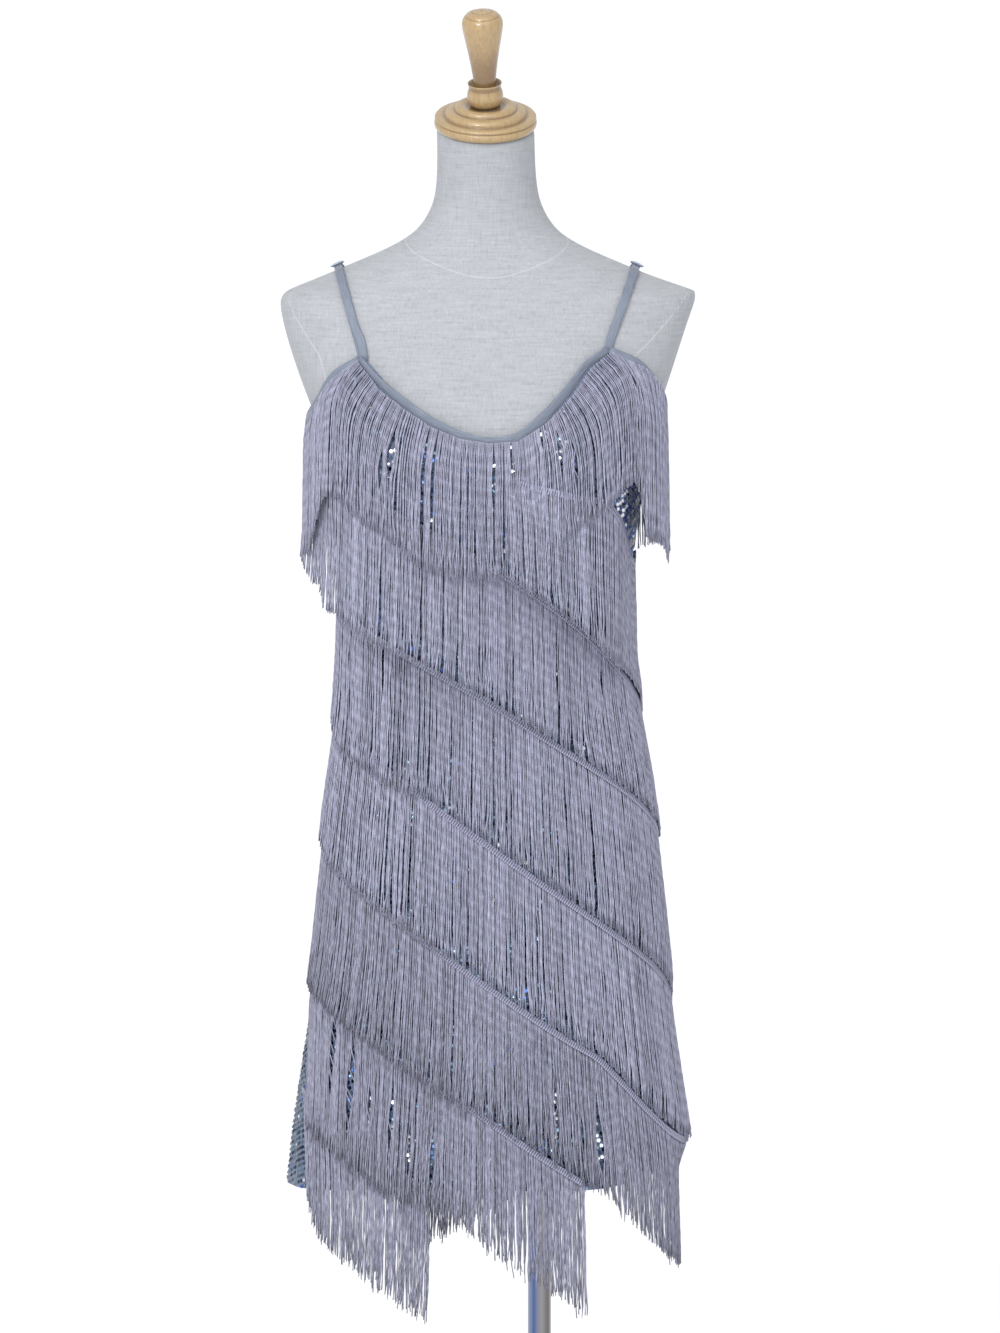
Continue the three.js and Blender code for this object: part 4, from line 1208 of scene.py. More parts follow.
def neckline_lean(turn):
    """How far the top fringe's threads slip outward over the bust, in metres."""
    side = -np.cos(np.radians(turn)) * CHEST_HALF_WIDTH
    off = np.abs(side)
    start = np.where(side < 0, *LEAN_STARTS) * MM
    amount = ramp(off, start, over=42 * MM) * (1 - ramp(off, start=114 * MM, over=20 * MM))
    return amount * np.where(side < 0, *LEAN_SLIPS) * MM


def armhole_cover(turn):
    """How far the top fringe's heads lie over the right armhole's binding, in metres."""
    return 4 * MM * ramp(turn, start=144, over=14)


def underarm_line(turn):
    """The heights that the top fringe's tips keep above, round the right arm, in metres."""
    return np.interp(turn, *UNDERARM_LINE)


def back_second_rise(turn):
    """How much shorter the second back row is at its start under the right arm, in metres."""
    return 75 * MM * (1 - ramp(turn, start=200, over=10))


def second_row_rise(turn):
    """How much shorter the second row's outermost threads are, in metres."""
    most = 25 + 10 * (1 - ramp(turn, start=7, over=13))
    return most * (1 - ramp(turn, start=20, over=6)) * MM


def second_row_flare(turn):
    """How far the second row's tips stand out under the left arm, in metres."""
    return 8 * MM * (1 - ramp(turn, start=7, over=18))


def left_end_rise(turn):
    """How much shorter a middle row is at the left side, in metres."""
    return 15 * MM * (1 - ramp(turn, start=0, over=20))


def right_end_rise(turn):
    """How much shorter the fifth row is at the right side, in metres."""
    return 12 * MM * ramp(turn, start=150, over=25)


def right_end_tuck(turn):
    """How far the fifth row hangs inside its header's right end, below the hem, in metres."""
    return 10 * MM * ramp(turn, start=156, over=20)


def sixth_row_rise(turn):
    """How much shorter the sixth row is, in metres."""
    return np.interp(turn, *SIXTH_ROW_RISE) * MM


def seventh_row_rise(turn):
    """How much shorter the seventh row is, most of all at the left, in metres."""
    return (6 + 22 * (1 - ramp(turn, start=13, over=9))) * MM


def left_upright(turn, most=0.5):
    """How nearly the lowest rows hang straight down at the left, where the skirt flares: 0 to 1."""
    from_left = np.minimum(turn, 360 - turn)
    return most * (1 - ramp(from_left, start=30, over=45))


def seventh_row_upright(turn):
    """The seventh row hangs more nearly straight down than the others there."""
    return left_upright(turn, most=0.75)


# ---------------------------------------------------------------------------------------------
# Sequined net

# Soft folds of the skirt: the turn and the height where each ends, how wide and how deep it is.
FRONT_FOLDS = [
    {"turn": 9, "top": 0.63, "half_width": 5.0, "depth": 2.4},
    {"turn": 27, "top": 0.57, "half_width": 6.0, "depth": 1.6},
    {"turn": 52, "top": 0.60, "half_width": 7.0, "depth": 2.0},
    {"turn": 84, "top": 0.55, "half_width": 8.0, "depth": 1.2},
    {"turn": 113, "top": 0.62, "half_width": 7.0, "depth": 1.9},
    {"turn": 146, "top": 0.66, "half_width": 6.0, "depth": 2.2},
    {"turn": 168, "top": 0.58, "half_width": 4.5, "depth": 2.6},
]
BACK_FOLDS = [
    {"turn": 194, "top": 0.60, "half_width": 5.0, "depth": 2.3},
    {"turn": 219, "top": 0.66, "half_width": 7.0, "depth": 1.8},
    {"turn": 251, "top": 0.56, "half_width": 8.0, "depth": 1.3},
    {"turn": 283, "top": 0.61, "half_width": 6.0, "depth": 2.1},
    {"turn": 317, "top": 0.57, "half_width": 7.0, "depth": 1.5},
    {"turn": 347, "top": 0.64, "half_width": 5.0, "depth": 2.5},
]
FOLD_FOOT = 0.46  # the height where a fold is deepest

# The bare net under the right arm, where the sequins have glints painted in slanting white dashes on blue.
BARE_PATCH = {"x": (110, 150), "z": (1.04, 1.14)}
DASH_PITCH = 8.0  # millimetres
DASH_WAY = (0.9, -500)  # square to the dashes, for x in millimetres and z in metres
DASH_SHARE = 0.45  # of the pitch
LIT_TURN = np.array([0, -0.7, 0.25])  # bright sequins face forward and up, more than their neighbours
GLINT_HALF_WIDTH = 5  # millimetres, behind a parting
GLINT_HEIGHT = 0.8  # of the parting's
GLINT_FROM = 0.35  # sequins with a higher draw than this get a painted glint there
GLINT_SPREAD = 0.08  # of their painted glint's tone
ROW_HEIGHT = 0.8  # where the rows of sequins are measured round the body
RUN_JITTER = 0.06  # of the pitch
HEIGHT_JITTER = 0.2 * MM
HEM_ROOM = 0.6  # of a sequin's radius, which stays clear of the hem
SEAM_ROOM = 0.4  # degrees, at the side seams
NEAR_TURN = 0.8  # degrees, to find the net's slope at a sequin
NEAR_DROP = 3 * MM
PLAIN_TONES = (0.9, 1.8)  # the shape of their spread, in which most are dark
FULL_WHITE = 1.0
FULL_WHITE_FROM, BLUE_FROM = 0.98, 0.955  # sequins with higher draws get a painted white or blue glint anywhere
# painted shade: how far each sequin's rim is darkened toward slate
RIM_PAINTED_SHADE = 0.5


def fold_depth(folds, turn, z):
    """How far the folds draw the net inward, in metres."""
    depth = np.zeros(np.broadcast(turn, z).shape)
    for fold in folds:
        off = (turn - fold["turn"]) / fold["half_width"]
        fall = ease((fold["top"] - z) / (fold["top"] - FOLD_FOOT))
        depth = depth + fold["depth"] * MM * np.exp(-off * off) * fall
    return depth


def net_grid(wall, folds, z_rows, turns):
    """Turn, outer reach and height of a panel's fine grid."""
    outer_rows = wall.outer_at(turns)
    height_rows = wall.heights_at(turns)
    packed_rows = np.arange(height_rows.shape[1], dtype=float)
    z = smooth_rows(z_rows, packed_rows, height_rows.T).T
    reach = smooth_rows(z_rows, packed_rows, outer_rows.T).T
    z[:, 0] = (z[:, 0] + z[:, 1]) / 2  # the top edge ends inside its binding
    grid_turns = np.broadcast_to(turns[:, None], z.shape)
    return grid_turns, reach - fold_depth(folds, grid_turns, z), z


def shell(outer, inner):
    """Faces of a closed shell from two grids of points, by column and row."""
    columns, rows = outer.shape[:2]
    count = columns * rows
    grid = np.arange(count).reshape(columns, rows)
    a, b, c, d = grid[:-1, :-1], grid[:-1, 1:], grid[1:, 1:], grid[1:, :-1]
    faces = np.stack([a, b, c, d], -1).reshape(-1, 4).tolist()
    faces += (np.stack([a, d, c, b], -1).reshape(-1, 4) + count).tolist()
    for line, flip in ((grid[0], False), (grid[-1], True), (grid[:, 0], True), (grid[:, -1], False)):
        near, far = (line[1:], line[:-1]) if flip else (line[:-1], line[1:])
        faces += np.stack([near, near + count, far + count, far], -1).tolist()
    return np.concatenate([outer.reshape(-1, 3), inner.reshape(-1, 3)]), faces


def add_net(name, node, folds):
    """The net of a panel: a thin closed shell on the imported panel's outer face."""
    wall = Wall(node, smooth_lines=False)
    turns = wall.fine_turns(NET_COLUMN_STEPS)
    rows = wall.heights.shape[1]
    z_rows = np.arange((rows - 1) * NET_ROW_STEPS + 1) / NET_ROW_STEPS
    turn, reach, z = net_grid(wall, folds, z_rows, turns)
    outer = body_points(turn, reach, z)
    inner = body_points(turn, reach - NET_THICKNESS, z)
    points, faces = shell(outer, inner)
    piece = add_piece(name, points, faces, [NET])
    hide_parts(node)
    return piece, wall


def sequin_places(wall, random):
    """Turns and heights of the sequins, in rows that slant up to the right."""
    turns = wall.fine_turns(LINE_STEPS)
    row_z = np.full(len(turns), ROW_HEIGHT)
    lengths = path_lengths(body_points(turns, wall.reach_at(turns, row_z), row_z))
    high = wall.heights[:, 1].max()
    low = wall.heights[:, -1].min()
    rise = lengths[-1] * SEQUIN_ROW_SLOPE
    rows = np.arange(math.ceil((high - low + rise) / SEQUIN_ROW_PITCH))
    pitch = SEQUIN_PITCH / math.hypot(1, SEQUIN_ROW_SLOPE)
    steps = np.arange(int(lengths[-1] / pitch))
    row, step = np.meshgrid(rows, steps, indexing="ij")
    run = (step + 0.5 * (row % 2) + random.normal(0, RUN_JITTER, size=row.shape)) * pitch
    z = low - rise + row * SEQUIN_ROW_PITCH + run * SEQUIN_ROW_SLOPE
    z = z + random.normal(0, HEIGHT_JITTER, size=row.shape)
    turn = np.interp(run, lengths, turns)
    heights = wall.heights_at(turn)
    keep = (z < heights[..., 1] - SEQUIN_RADIUS) & (z > heights[..., -1] + SEQUIN_RADIUS * HEM_ROOM)
    keep &= (turn > wall.turns[0] + SEAM_ROOM) & (turn < wall.turns[-1] - SEAM_ROOM)
    return turn[keep], z[keep]


def behind_parting(parting, x, z):
    """Which sequins on the front lie in a parting, where their glints are painted: x in millimetres, z in
    metres.
    """
    near_x = np.abs(x - parting["x"]) < GLINT_HALF_WIDTH
    near_z = np.abs(z - parting["z"]) < parting["half_height"] * GLINT_HEIGHT * MM
    return near_x & near_z


def add_sequins(name, wall, folds, seed):
    """Dished sequins sewn on a panel, joined in one mesh."""

    def on_net(at_turn, at_z):
        """Points on the net's outer face."""
        reach = wall.reach_at(at_turn, at_z) - fold_depth(folds, at_turn, at_z)
        return body_points(at_turn, reach, at_z)

    random = np.random.default_rng(seed)
    turn, z = sequin_places(wall, random)
    count = len(turn)
    centre = on_net(turn, z)
    low, high = wall.turns[0], wall.turns[-1]
    after = on_net(np.clip(turn + NEAR_TURN, low, high), z)
    before = on_net(np.clip(turn - NEAR_TURN, low, high), z)
    right = unit(after - before)
    down = unit(on_net(turn, z - NEAR_DROP) - centre)
    out = unit(np.cross(right, -down))
    x = (centre[:, 0] - BODY_AXIS_X) / MM
    on_front = centre[:, 1] < 0
    in_patch = on_front & (x > BARE_PATCH["x"][0]) & (x < BARE_PATCH["x"][1])
    in_patch &= (z > BARE_PATCH["z"][0]) & (z < BARE_PATCH["z"][1])
    along_way = x * DASH_WAY[0] + z * DASH_WAY[1]
    in_dash = in_patch & ((along_way / DASH_PITCH) % 1 < DASH_SHARE)
    lit = in_dash.copy()
    for parting in PARTINGS:
        if parting["painted_glint"] == WHITE:
            lit |= on_front & behind_parting(parting, x, z)
    tilt = random.normal(*SEQUIN_TILT, size=(count, 1))
    roll = random.normal(0, SEQUIN_ROLL, size=(count, 1))
    out = unit(out - down * tilt + right * roll + lit[:, None] * LIT_TURN)
    right = unit(right - out * (right * out).sum(-1, keepdims=True))
    down = np.cross(right, out)
    centre = centre + out * SEQUIN_LIFT
    angle = np.arange(SEQUIN_SIDES) * math.tau / SEQUIN_SIDES
    radius = SEQUIN_RADIUS * random.uniform(*SEQUIN_RADIUS_SPREAD, size=(count, 1, 1))
    rim = (
        centre[:, None, :]
        + right[:, None, :] * np.cos(angle)[None, :, None] * radius
        + down[:, None, :] * np.sin(angle)[None, :, None] * radius
        + out[:, None, :] * SEQUIN_DISH
    )
    points = np.concatenate([rim, centre[:, None, :]], axis=1)
    points_each = SEQUIN_SIDES + 1
    start = np.arange(count)[:, None] * points_each
    side = np.arange(SEQUIN_SIDES)[None, :]
    faces = np.stack(
        [
            start + side,
            np.broadcast_to(start + SEQUIN_SIDES, (count, SEQUIN_SIDES)),
            start + (side + 1) % SEQUIN_SIDES,
        ],
        axis=-1,
    )
    tone = np.clip(random.beta(*PLAIN_TONES, size=count), 0, TEAL)
    # painted glints: a few sequins anywhere are coloured full white or blue
    flash = random.random(count)
    tone = np.where(flash > FULL_WHITE_FROM, FULL_WHITE, np.where(flash > BLUE_FROM, BLUE, tone))
    # painted glints: sequins behind a parting take the parting's glint tone
    for parting in PARTINGS:
        painted_glints = on_front & behind_parting(parting, x, z) & (flash > GLINT_FROM)
        tone = np.where(painted_glints, parting["painted_glint"] + GLINT_SPREAD * flash, tone)
    # painted glints: the bare patch's dashes are white, and the rest of it blue
    tone = np.where(in_patch, np.where(in_dash, FULL_WHITE, BLUE), tone)
    # painted shade on each sequin's rim
    edge = np.tile([RIM_PAINTED_SHADE] * SEQUIN_SIDES + [0.0], count)
    attributes = {"tone": np.repeat(tone, points_each), "rim": edge}
    faces = faces.reshape(-1, 3).tolist()
    return add_piece(name, points, faces, [SEQUIN_FILM], attributes=attributes)


# ---------------------------------------------------------------------------------------------
# Satin elastic


def add_binding(name, node):
    """A folded elastic binding in the place of a packed one."""
    wall = Wall(node)
    turns = wall.fine_turns(ELASTIC_STEPS)
    heights = wall.heights_at(turns)
    outer = wall.outer_at(turns)
    middle_reach = outer - BINDING_THICKNESS / 2
    top = body_points(turns, middle_reach[:, 0], heights[:, 0] + BINDING_OVER)
    foot = body_points(turns, middle_reach[:, 1], heights[:, 1])
    middle = (top + foot) / 2
    half = (foot - top) / 2
    across, out = path_frame(middle, outward(turns))
    across = across * np.sign((across * half).sum(axis=-1, keepdims=True))
    half_width = (across * half).sum(axis=-1) * BINDING_FULLNESS
    section = (half_width, BINDING_THICKNESS / 2, BINDING_SIDES, BINDING_SQUARENESS)
    points, faces = tube(middle, across, out, *section)
    section_across, _ = section_points(BINDING_SIDES, BINDING_SQUARENESS)
    attributes = {
        "along": np.repeat(path_lengths(middle), BINDING_SIDES),
        "across": (half_width[:, None] * section_across).ravel(),
    }
    piece = add_piece(name, points, faces, [ELASTIC], attributes=attributes)
    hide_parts(node)
    return piece


def strap_sections(node):
    """A packed strap's sections from front to back.

    Gives their middles, their across and out directions, and how far out their inner faces are.
    """
    points, _ = packed_points(node)
    pivot_y, pivot_z = STRAP_PIVOT
    angle = np.degrees(np.arctan2(points[:, 2] - pivot_z, pivot_y - points[:, 1])) % 360
    corners = points[np.argsort(angle)].reshape(-1, 4, 3)
    middles = corners.mean(axis=1)
    along = unit(np.gradient(middles, axis=0))
    across = []
    for corner in corners:
        by_side = corner[np.argsort(corner[:, 0])]
        across.append(by_side[2:].mean(axis=0) - by_side[:2].mean(axis=0))
    across = unit(np.array(across))
    out = unit(np.cross(across, along))
    centre = np.array([middles[:, 0].mean(), pivot_y, pivot_z - INSIDE_DROP])
    out = out * np.sign((out * (middles - centre)).sum(axis=-1, keepdims=True))
    across = np.cross(along, out)
    foot = ((corners - middles[:, None]) * out[:, None]).sum(axis=-1).min(axis=1)
    return middles, across, out, foot


def fine_path(rows, steps):
    """Rows of values with so many steps between two of them, on a smooth curve."""
    places = np.arange((len(rows) - 1) * steps + 1) / steps
    return smooth_rows(places, np.arange(len(rows), dtype=float), rows)


def slider_frame(node):
    """A packed slider's middle, and its across, along and out directions."""
    points, _ = packed_points(node)
    middle = points.mean(axis=0)
    _, _, axes = np.linalg.svd(points - middle)
    across, along, out = axes
    if out[2] < 0:
        out = -out
    along = np.cross(out, across)
    middle = middle - along * SLIDER_FORWARD * np.sign(along[1]) + out * SLIDER_LIFT
    return middle, across, along, out


def add_strap(name, node, slider_node, splay):
    """A strap with its doubled front, which passes up over the slider's middle bar."""
    middles, across, out, foot = (fine_path(rows, ELASTIC_STEPS) for rows in strap_sections(node))
    slider_middle, _, _, _ = slider_frame(slider_node)
    over_slider = int(np.argmin(np.linalg.norm(middles - slider_middle, axis=1)))
    seen_height = middles[:, 2] + middles[:, 1] * SIGHT_RISE
    risen = (seen_height - seen_height[0]) / (seen_height[over_slider] - seen_height[0])
    straight_x = middles[0, 0] + (middles[over_slider, 0] - middles[0, 0]) * risen
    middles[:over_slider, 0] = straight_x[:over_slider]
    lower = middles + out * (foot + STRAP_LAYER / 2)[:, None]
    hidden = unit(lower[0] - lower[2]) * STRAP_SEWN_IN - out[0] * STRAP_SUNK_IN
    lower = np.concatenate([[lower[0] + hidden], lower])
    middles = np.concatenate([[middles[0] + hidden], middles])
    across = np.concatenate([across[:1], across])
    out = np.concatenate([out[:1], out])
    end = int(np.argmin(np.linalg.norm(middles - slider_middle, axis=1)))
    span = np.arange(end + STRAP_TAIL)
    from_slider = np.linalg.norm(middles[span] - middles[end], axis=1)
    hump_height, hump_half = STRAP_HUMP
    lift = STRAP_LAYER * STRAP_STACK + hump_height * np.exp(-((from_slider / hump_half) ** 4))
    splay_place, splay_half = STRAP_SPLAY
    from_splay = path_lengths(middles)[span] - splay_place
    spread = splay * np.exp(-((from_splay / splay_half) ** 2))
    upper = lower[span] + out[span] * lift[:, None] + across[span] * spread[:, None]
    section = (STRAP_WIDTH / 2, STRAP_LAYER / 2 * STRAP_FLATNESS, STRAP_SIDES, ELASTIC_SQUARENESS)
    section_across, _ = section_points(STRAP_SIDES, ELASTIC_SQUARENESS)
    under, under_faces = tube(lower, across, out, *section)
    over, over_faces = tube(upper, across[span], out[span], *section, len(under))
    lengths = np.concatenate([path_lengths(lower), path_lengths(upper)])
    attributes = {
        "along": np.repeat(lengths, STRAP_SIDES),
        "across": np.tile(section_across * STRAP_WIDTH / 2, len(lengths)),
    }
    points = np.concatenate([under, over])
    faces = under_faces + over_faces
    piece = add_piece(name, points, faces, [ELASTIC], attributes=attributes)
    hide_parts(node)
    return piece


def add_slider(name, node):
    """A moulded adjuster: a rounded frame with a bar across its middle."""
    middle, across, along, out = slider_frame(node)
    bar_half, bar_half_height = SLIDER_BAR
    half_width = SLIDER_HALF[0] - bar_half
    half_length = SLIDER_HALF[1] - bar_half
    corner = SLIDER_CORNER
    outline = []
    for centre_x, centre_y, start in (
        (half_width - corner, half_length - corner, 0),
        (corner - half_width, half_length - corner, 90),
        (corner - half_width, corner - half_length, 180),
        (half_width - corner, corner - half_length, 270),
    ):
        for step in range(SLIDER_CORNER_STEPS + 1):
            angle = math.radians(start + 90 * step / SLIDER_CORNER_STEPS)
            outline.append((centre_x + corner * math.cos(angle), centre_y + corner * math.sin(angle)))
    outline = np.array(outline + outline[:1])
    ring = middle + outline[:, :1] * across + outline[:, 1:] * along
    ring_out = np.broadcast_to(out, ring.shape)
    closed = np.concatenate([ring[-2:-1], ring, ring[1:2]])
    ring_across = np.cross(ring_out, unit(closed[2:] - closed[:-2]))
    shape = (SLIDER_SIDES, SLIDER_SQUARENESS)
    ring_points, ring_faces = tube(ring, ring_across, ring_out, bar_half, bar_half_height, *shape)
    bar = middle + np.linspace(-half_width, half_width, SLIDER_BAR_POINTS)[:, None] * across
    bar_along = np.broadcast_to(along, bar.shape)
    bar_out = np.broadcast_to(out, bar.shape)
    bar_size = (bar_half * SLIDER_BAR_NARROWING, SLIDER_BAR_HALF_HEIGHT)
    bar_points, bar_faces = tube(bar, bar_along, bar_out, *bar_size, *shape, len(ring_points))
    points = np.concatenate([ring_points, bar_points])
    faces = ring_faces + bar_faces
    piece = add_piece(name, points, faces, [CLEAR_NYLON])
    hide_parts(node)
    return piece


# ---------------------------------------------------------------------------------------------
# Form and stand

# Turned profiles, from foot to top: radius and height in millimetres.
CAP_PROFILE = [
    (0, 0),
    (44.4, 0),
    (45.3, 0.3),
    (46.5, 2.0),
    (46.9, 4.2),
    (46.5, 6.3),
    (45.6, 7.4),
    (44.9, 7.7),
    (45.6, 8.1),
    (46.4, 9.0),
    (46.3, 10.1),
    (45.2, 11.2),
    (43.2, 11.7),
    (40.6, 11.4),
    (38.4, 11.0),
    (37.4, 11.1),
    (37.1, 11.7),
    (37.0, 13.2),
    (36.4, 14.7),
    (34.9, 16.1),
    (32.6, 16.9),
    (30.2, 17.0),
    (28.7, 16.8),
    (28.3, 17.2),
    (28.2, 18.7),
    (27.4, 20.3),
    (25.6, 21.4),
    (23.0, 21.7),
    (20.4, 21.2),
    (18.4, 20.4),
    (17.4, 20.0),
    (0, 20.0),
]
KNOB_PROFILE = [
    (0, 0),
    (13.0, 0),
    (14.8, 2.6),
    (16.0, 6.0),
    (16.6, 9.0),
    (16.2, 12.4),
    (15.3, 15.2),
    (14.7, 17.4),
    (15.0, 19.6),
    (15.6, 21.3),
    (15.4, 21.8),
    (14.8, 21.3),
    (13.8, 19.2),
    (12.4, 17.4),
    (11.0, 16.6),
    (10.5, 17.2),
    (10.3, 22.0),
    (10.8, 29.0),
    (12.6, 42.0),
    (14.9, 55.0),
    (17.2, 67.0),
    (18.3, 73.0),
    (18.8, 77.0),
    (18.6, 80.0),
    (17.8, 82.8),
    (16.6, 84.9),
    (15.7, 85.7),
    (15.2, 85.6),
    (15.0, 86.3),
    (14.4, 87.4),
    (12.9, 88.4),
    (9.6, 89.5),
    (9.0, 89.4),
    (8.3, 89.9),
    (5.2, 90.7),
    (2.0, 90.9),
    (1.6, 90.6),
    (1.2, 89.0),
    (0, 89.0),
]
TURNED_SIDES = 96
DEEP_HOLLOW = 0.3 * MM  # a turned groove this deep gets the darkest painted shade

FLAT_ANGLE = math.radians(25)  # packed triangles join into quads up to this angle
QUAD_ANGLE = math.radians(60)  # and up to this difference in shape
CREASE = 0.7  # of an edge that stays sharp
ROUNDING_LEVELS = 2

NECK_SEAM_HEIGHTS = (1.309, 1.342, 1.349)  # at the front, the sides and the back
NECK_SEAM_STEP = 4  # degrees
NECK_SEAM_DIP = 1.4  # the higher, the narrower is its dip in front
RAY_START = {"neck": 0.3, "arm": 0.4}  # metres from the axis, well outside the form
# The seam round an arm's end, from the shoulder down the front: y and z in millimetres.
ARM_SEAM_LINE = [
    (0, 1297),
    (-16, 1294),
    (-29, 1287),
    (-43, 1270),
    (-58, 1251),
    (-69, 1236),
    (-75, 1214),
    (-70, 1188),
    (-46, 1166),
    (0, 1156),
]
ARM_SEAM_STEPS = 5  # between two of these points
# The side that each arm is on, and the seam's depth there as a share of that line's.
ARM_SIDES = {"left": (-1, 0.82), "right": (1, 1.0)}


def add_rounded(name, node, finish, sharp_degrees=50):
    """A packed hard piece with its facets rounded off and its sharp edges kept."""
    points, index = packed_points(node)
    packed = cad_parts[node].data
    index = index.ravel()
    faces = [[int(index[corner]) for corner in face.vertices] for face in packed.polygons]
    piece = add_piece(name, points, faces, [finish])
    work = bmesh.new()
    work.from_mesh(piece.data)
    bmesh.ops.join_triangles(
        work, faces=work.faces, angle_face_threshold=FLAT_ANGLE, angle_shape_threshold=QUAD_ANGLE
    )
    crease = work.edges.layers.float.new("crease_edge")
    for edge in work.edges:
        if edge.is_manifold and edge.calc_face_angle() > math.radians(sharp_degrees):
            edge[crease] = CREASE
    work.to_mesh(piece.data)
    work.free()
    rounding = piece.modifiers.new("rounding", "SUBSURF")
    rounding.levels = ROUNDING_LEVELS
    rounding.render_levels = ROUNDING_LEVELS
    evaluated = piece.evaluated_get(bpy.context.evaluated_depsgraph_get())
    rounded = bpy.data.meshes.new_from_object(evaluated)
    piece.modifiers.clear()
    piece.data = rounded
    rounded.polygons.foreach_set("use_smooth", [True] * len(rounded.polygons))
    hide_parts(node)
    return piece


def add_turned(name, node, profile):
    """A turned wooden piece on a packed one's axis, from its profile's radii and heights."""
    packed, _ = packed_points(node)
    middle = packed.mean(axis=0)
    spread, axes = np.linalg.eigh(np.cov((packed - middle).T))
    axis = axes[:, 0] if spread[1] - spread[0] > spread[2] - spread[1] else axes[:, 2]
    axis = axis * np.sign(axis[2])
    foot = middle + axis * ((packed - middle) @ axis).min()
    across = unit(np.cross(axis, (1.0, 0.0, 0.0)))
    forward = np.cross(axis, across)
    radii, heights = np.array(profile[1:-1]).T * MM
    angle = np.arange(TURNED_SIDES) * math.tau / TURNED_SIDES
    round_way = across * np.cos(angle)[:, None] + forward * np.sin(angle)[:, None]
    rings = foot + axis * heights[:, None, None] + round_way * radii[:, None, None]
    ends = [foot + axis * profile[place][1] * MM for place in (0, -1)]
    points = np.concatenate([rings.reshape(-1, 3), ends])
    side = np.arange(TURNED_SIDES)
    next_side = (side + 1) % TURNED_SIDES
    ring = np.arange(len(radii) - 1)[:, None] * TURNED_SIDES
    above = ring + TURNED_SIDES
    walls = np.stack([ring + side, ring + next_side, above + next_side, above + side], axis=-1)
    last = (len(radii) - 1) * TURNED_SIDES
    count = len(radii) * TURNED_SIDES
    floor = np.stack([next_side, side, np.full(TURNED_SIDES, count)], axis=-1)
    top = np.stack([last + side, last + next_side, np.full(TURNED_SIDES, count + 1)], axis=-1)
    faces = walls.reshape(-1, 4).tolist() + floor.tolist() + top.tolist()
    # painted shade: how hollow the profile is at each ring, to darken the grooves
    line = np.array(profile) * MM
    rise = unit(line[2:] - line[:-2])
    into = (line[2:] + line[:-2]) / 2 - line[1:-1]
    hollow = np.clip((into[:, 0] * rise[:, 1] - into[:, 1] * rise[:, 0]) / DEEP_HOLLOW, 0, 1)
    groove_shades = np.concatenate([np.repeat(hollow, TURNED_SIDES), hollow[[0, -1]]])
    piece = add_piece(name, points, faces, [BEECH], attributes={"hollow": groove_shades})
    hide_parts(node)


def surface_of(piece):
    """A tree for finding points on a piece's surface."""
    mesh = piece.data
    return BVHTree.FromPolygons(
        [vertex.co[:] for vertex in mesh.vertices], [face.vertices[:] for face in mesh.polygons]
    )


def add_seam(name, surface, rays, half_width, half_height, stands_out):
    """A piped seam along the points where rays meet the form, as a closed loop."""
    hits = [surface.ray_cast(Vector(start), Vector(toward)) for start, toward in rays]
    line = np.array([hit[0][:] for hit in hits])
    normals = np.array([hit[1][:] for hit in hits])
    closed = np.concatenate([line[-1:], line, line[:1]])
    tangent = unit(closed[2:] - closed[:-2])
    out = unit(normals - tangent * (normals * tangent).sum(-1, keepdims=True))
    across = np.cross(out, tangent)
    path = line - out * (half_height - stands_out)
    count = len(path)
    points = sweep(path, across, out, half_width, half_height, SEAM_SIDES)
    ring = np.arange(count)[:, None] * SEAM_SIDES
    next_ring = (np.arange(count)[:, None] + 1) % count * SEAM_SIDES
    side = np.arange(SEAM_SIDES)[None, :]
    next_side = (side + 1) % SEAM_SIDES
    faces = np.stack(
        [ring + side, ring + next_side, next_ring + next_side, next_ring + side], -1
    ).reshape(-1, 4)
    add_piece(name, points, faces.tolist(), [LINEN_PIPING])


def add_form():
    """The linen-covered torso with its piped seams, and the wooden cap and knob."""
    form = add_rounded("linen_torso", "form_body", LINEN)
    surface = surface_of(form)
    turns = np.arange(0, 360, NECK_SEAM_STEP)
    front_share = np.clip(np.sin(np.radians(turns)), 0, 1) ** NECK_SEAM_DIP
    back_share = np.clip(-np.sin(np.radians(turns)), 0, 1)
    front_z, side_z, back_z = NECK_SEAM_HEIGHTS
    neck_z = side_z + (front_z - side_z) * front_share + (back_z - side_z) * back_share
    starts = body_points(turns, RAY_START["neck"], neck_z)
    rays = [(start, -direction) for start, direction in zip(starts, outward(turns))]
    add_seam("seam_neck", surface, rays, *NECK_SEAM)
    front = np.array(ARM_SEAM_LINE) * MM
    back = front[-2:0:-1] * (-1, 1)
    loop = fine_path(np.concatenate([front, back, front[:1]]), ARM_SEAM_STEPS)[:-1]
    for word, (side, depth_share) in ARM_SIDES.items():
        start_x = BODY_AXIS_X + side * RAY_START["arm"]
        rays = [((start_x, y * depth_share, z), (-side, 0, 0)) for y, z in loop]
        add_seam(f"seam_arm_{word}", surface, rays, *ARM_SEAM)
    add_turned("beech_cap", "form_cap", CAP_PROFILE)
    add_turned("beech_knob", "form_knob", KNOB_PROFILE)


def add_stand():
    """The chromed pole and the steel foot."""
    add_rounded("chromed_pole", "stand_pole", CHROME)
    add_rounded("steel_foot", "stand_foot", STEEL, sharp_degrees=30)


# ---------------------------------------------------------------------------------------------
# Studio

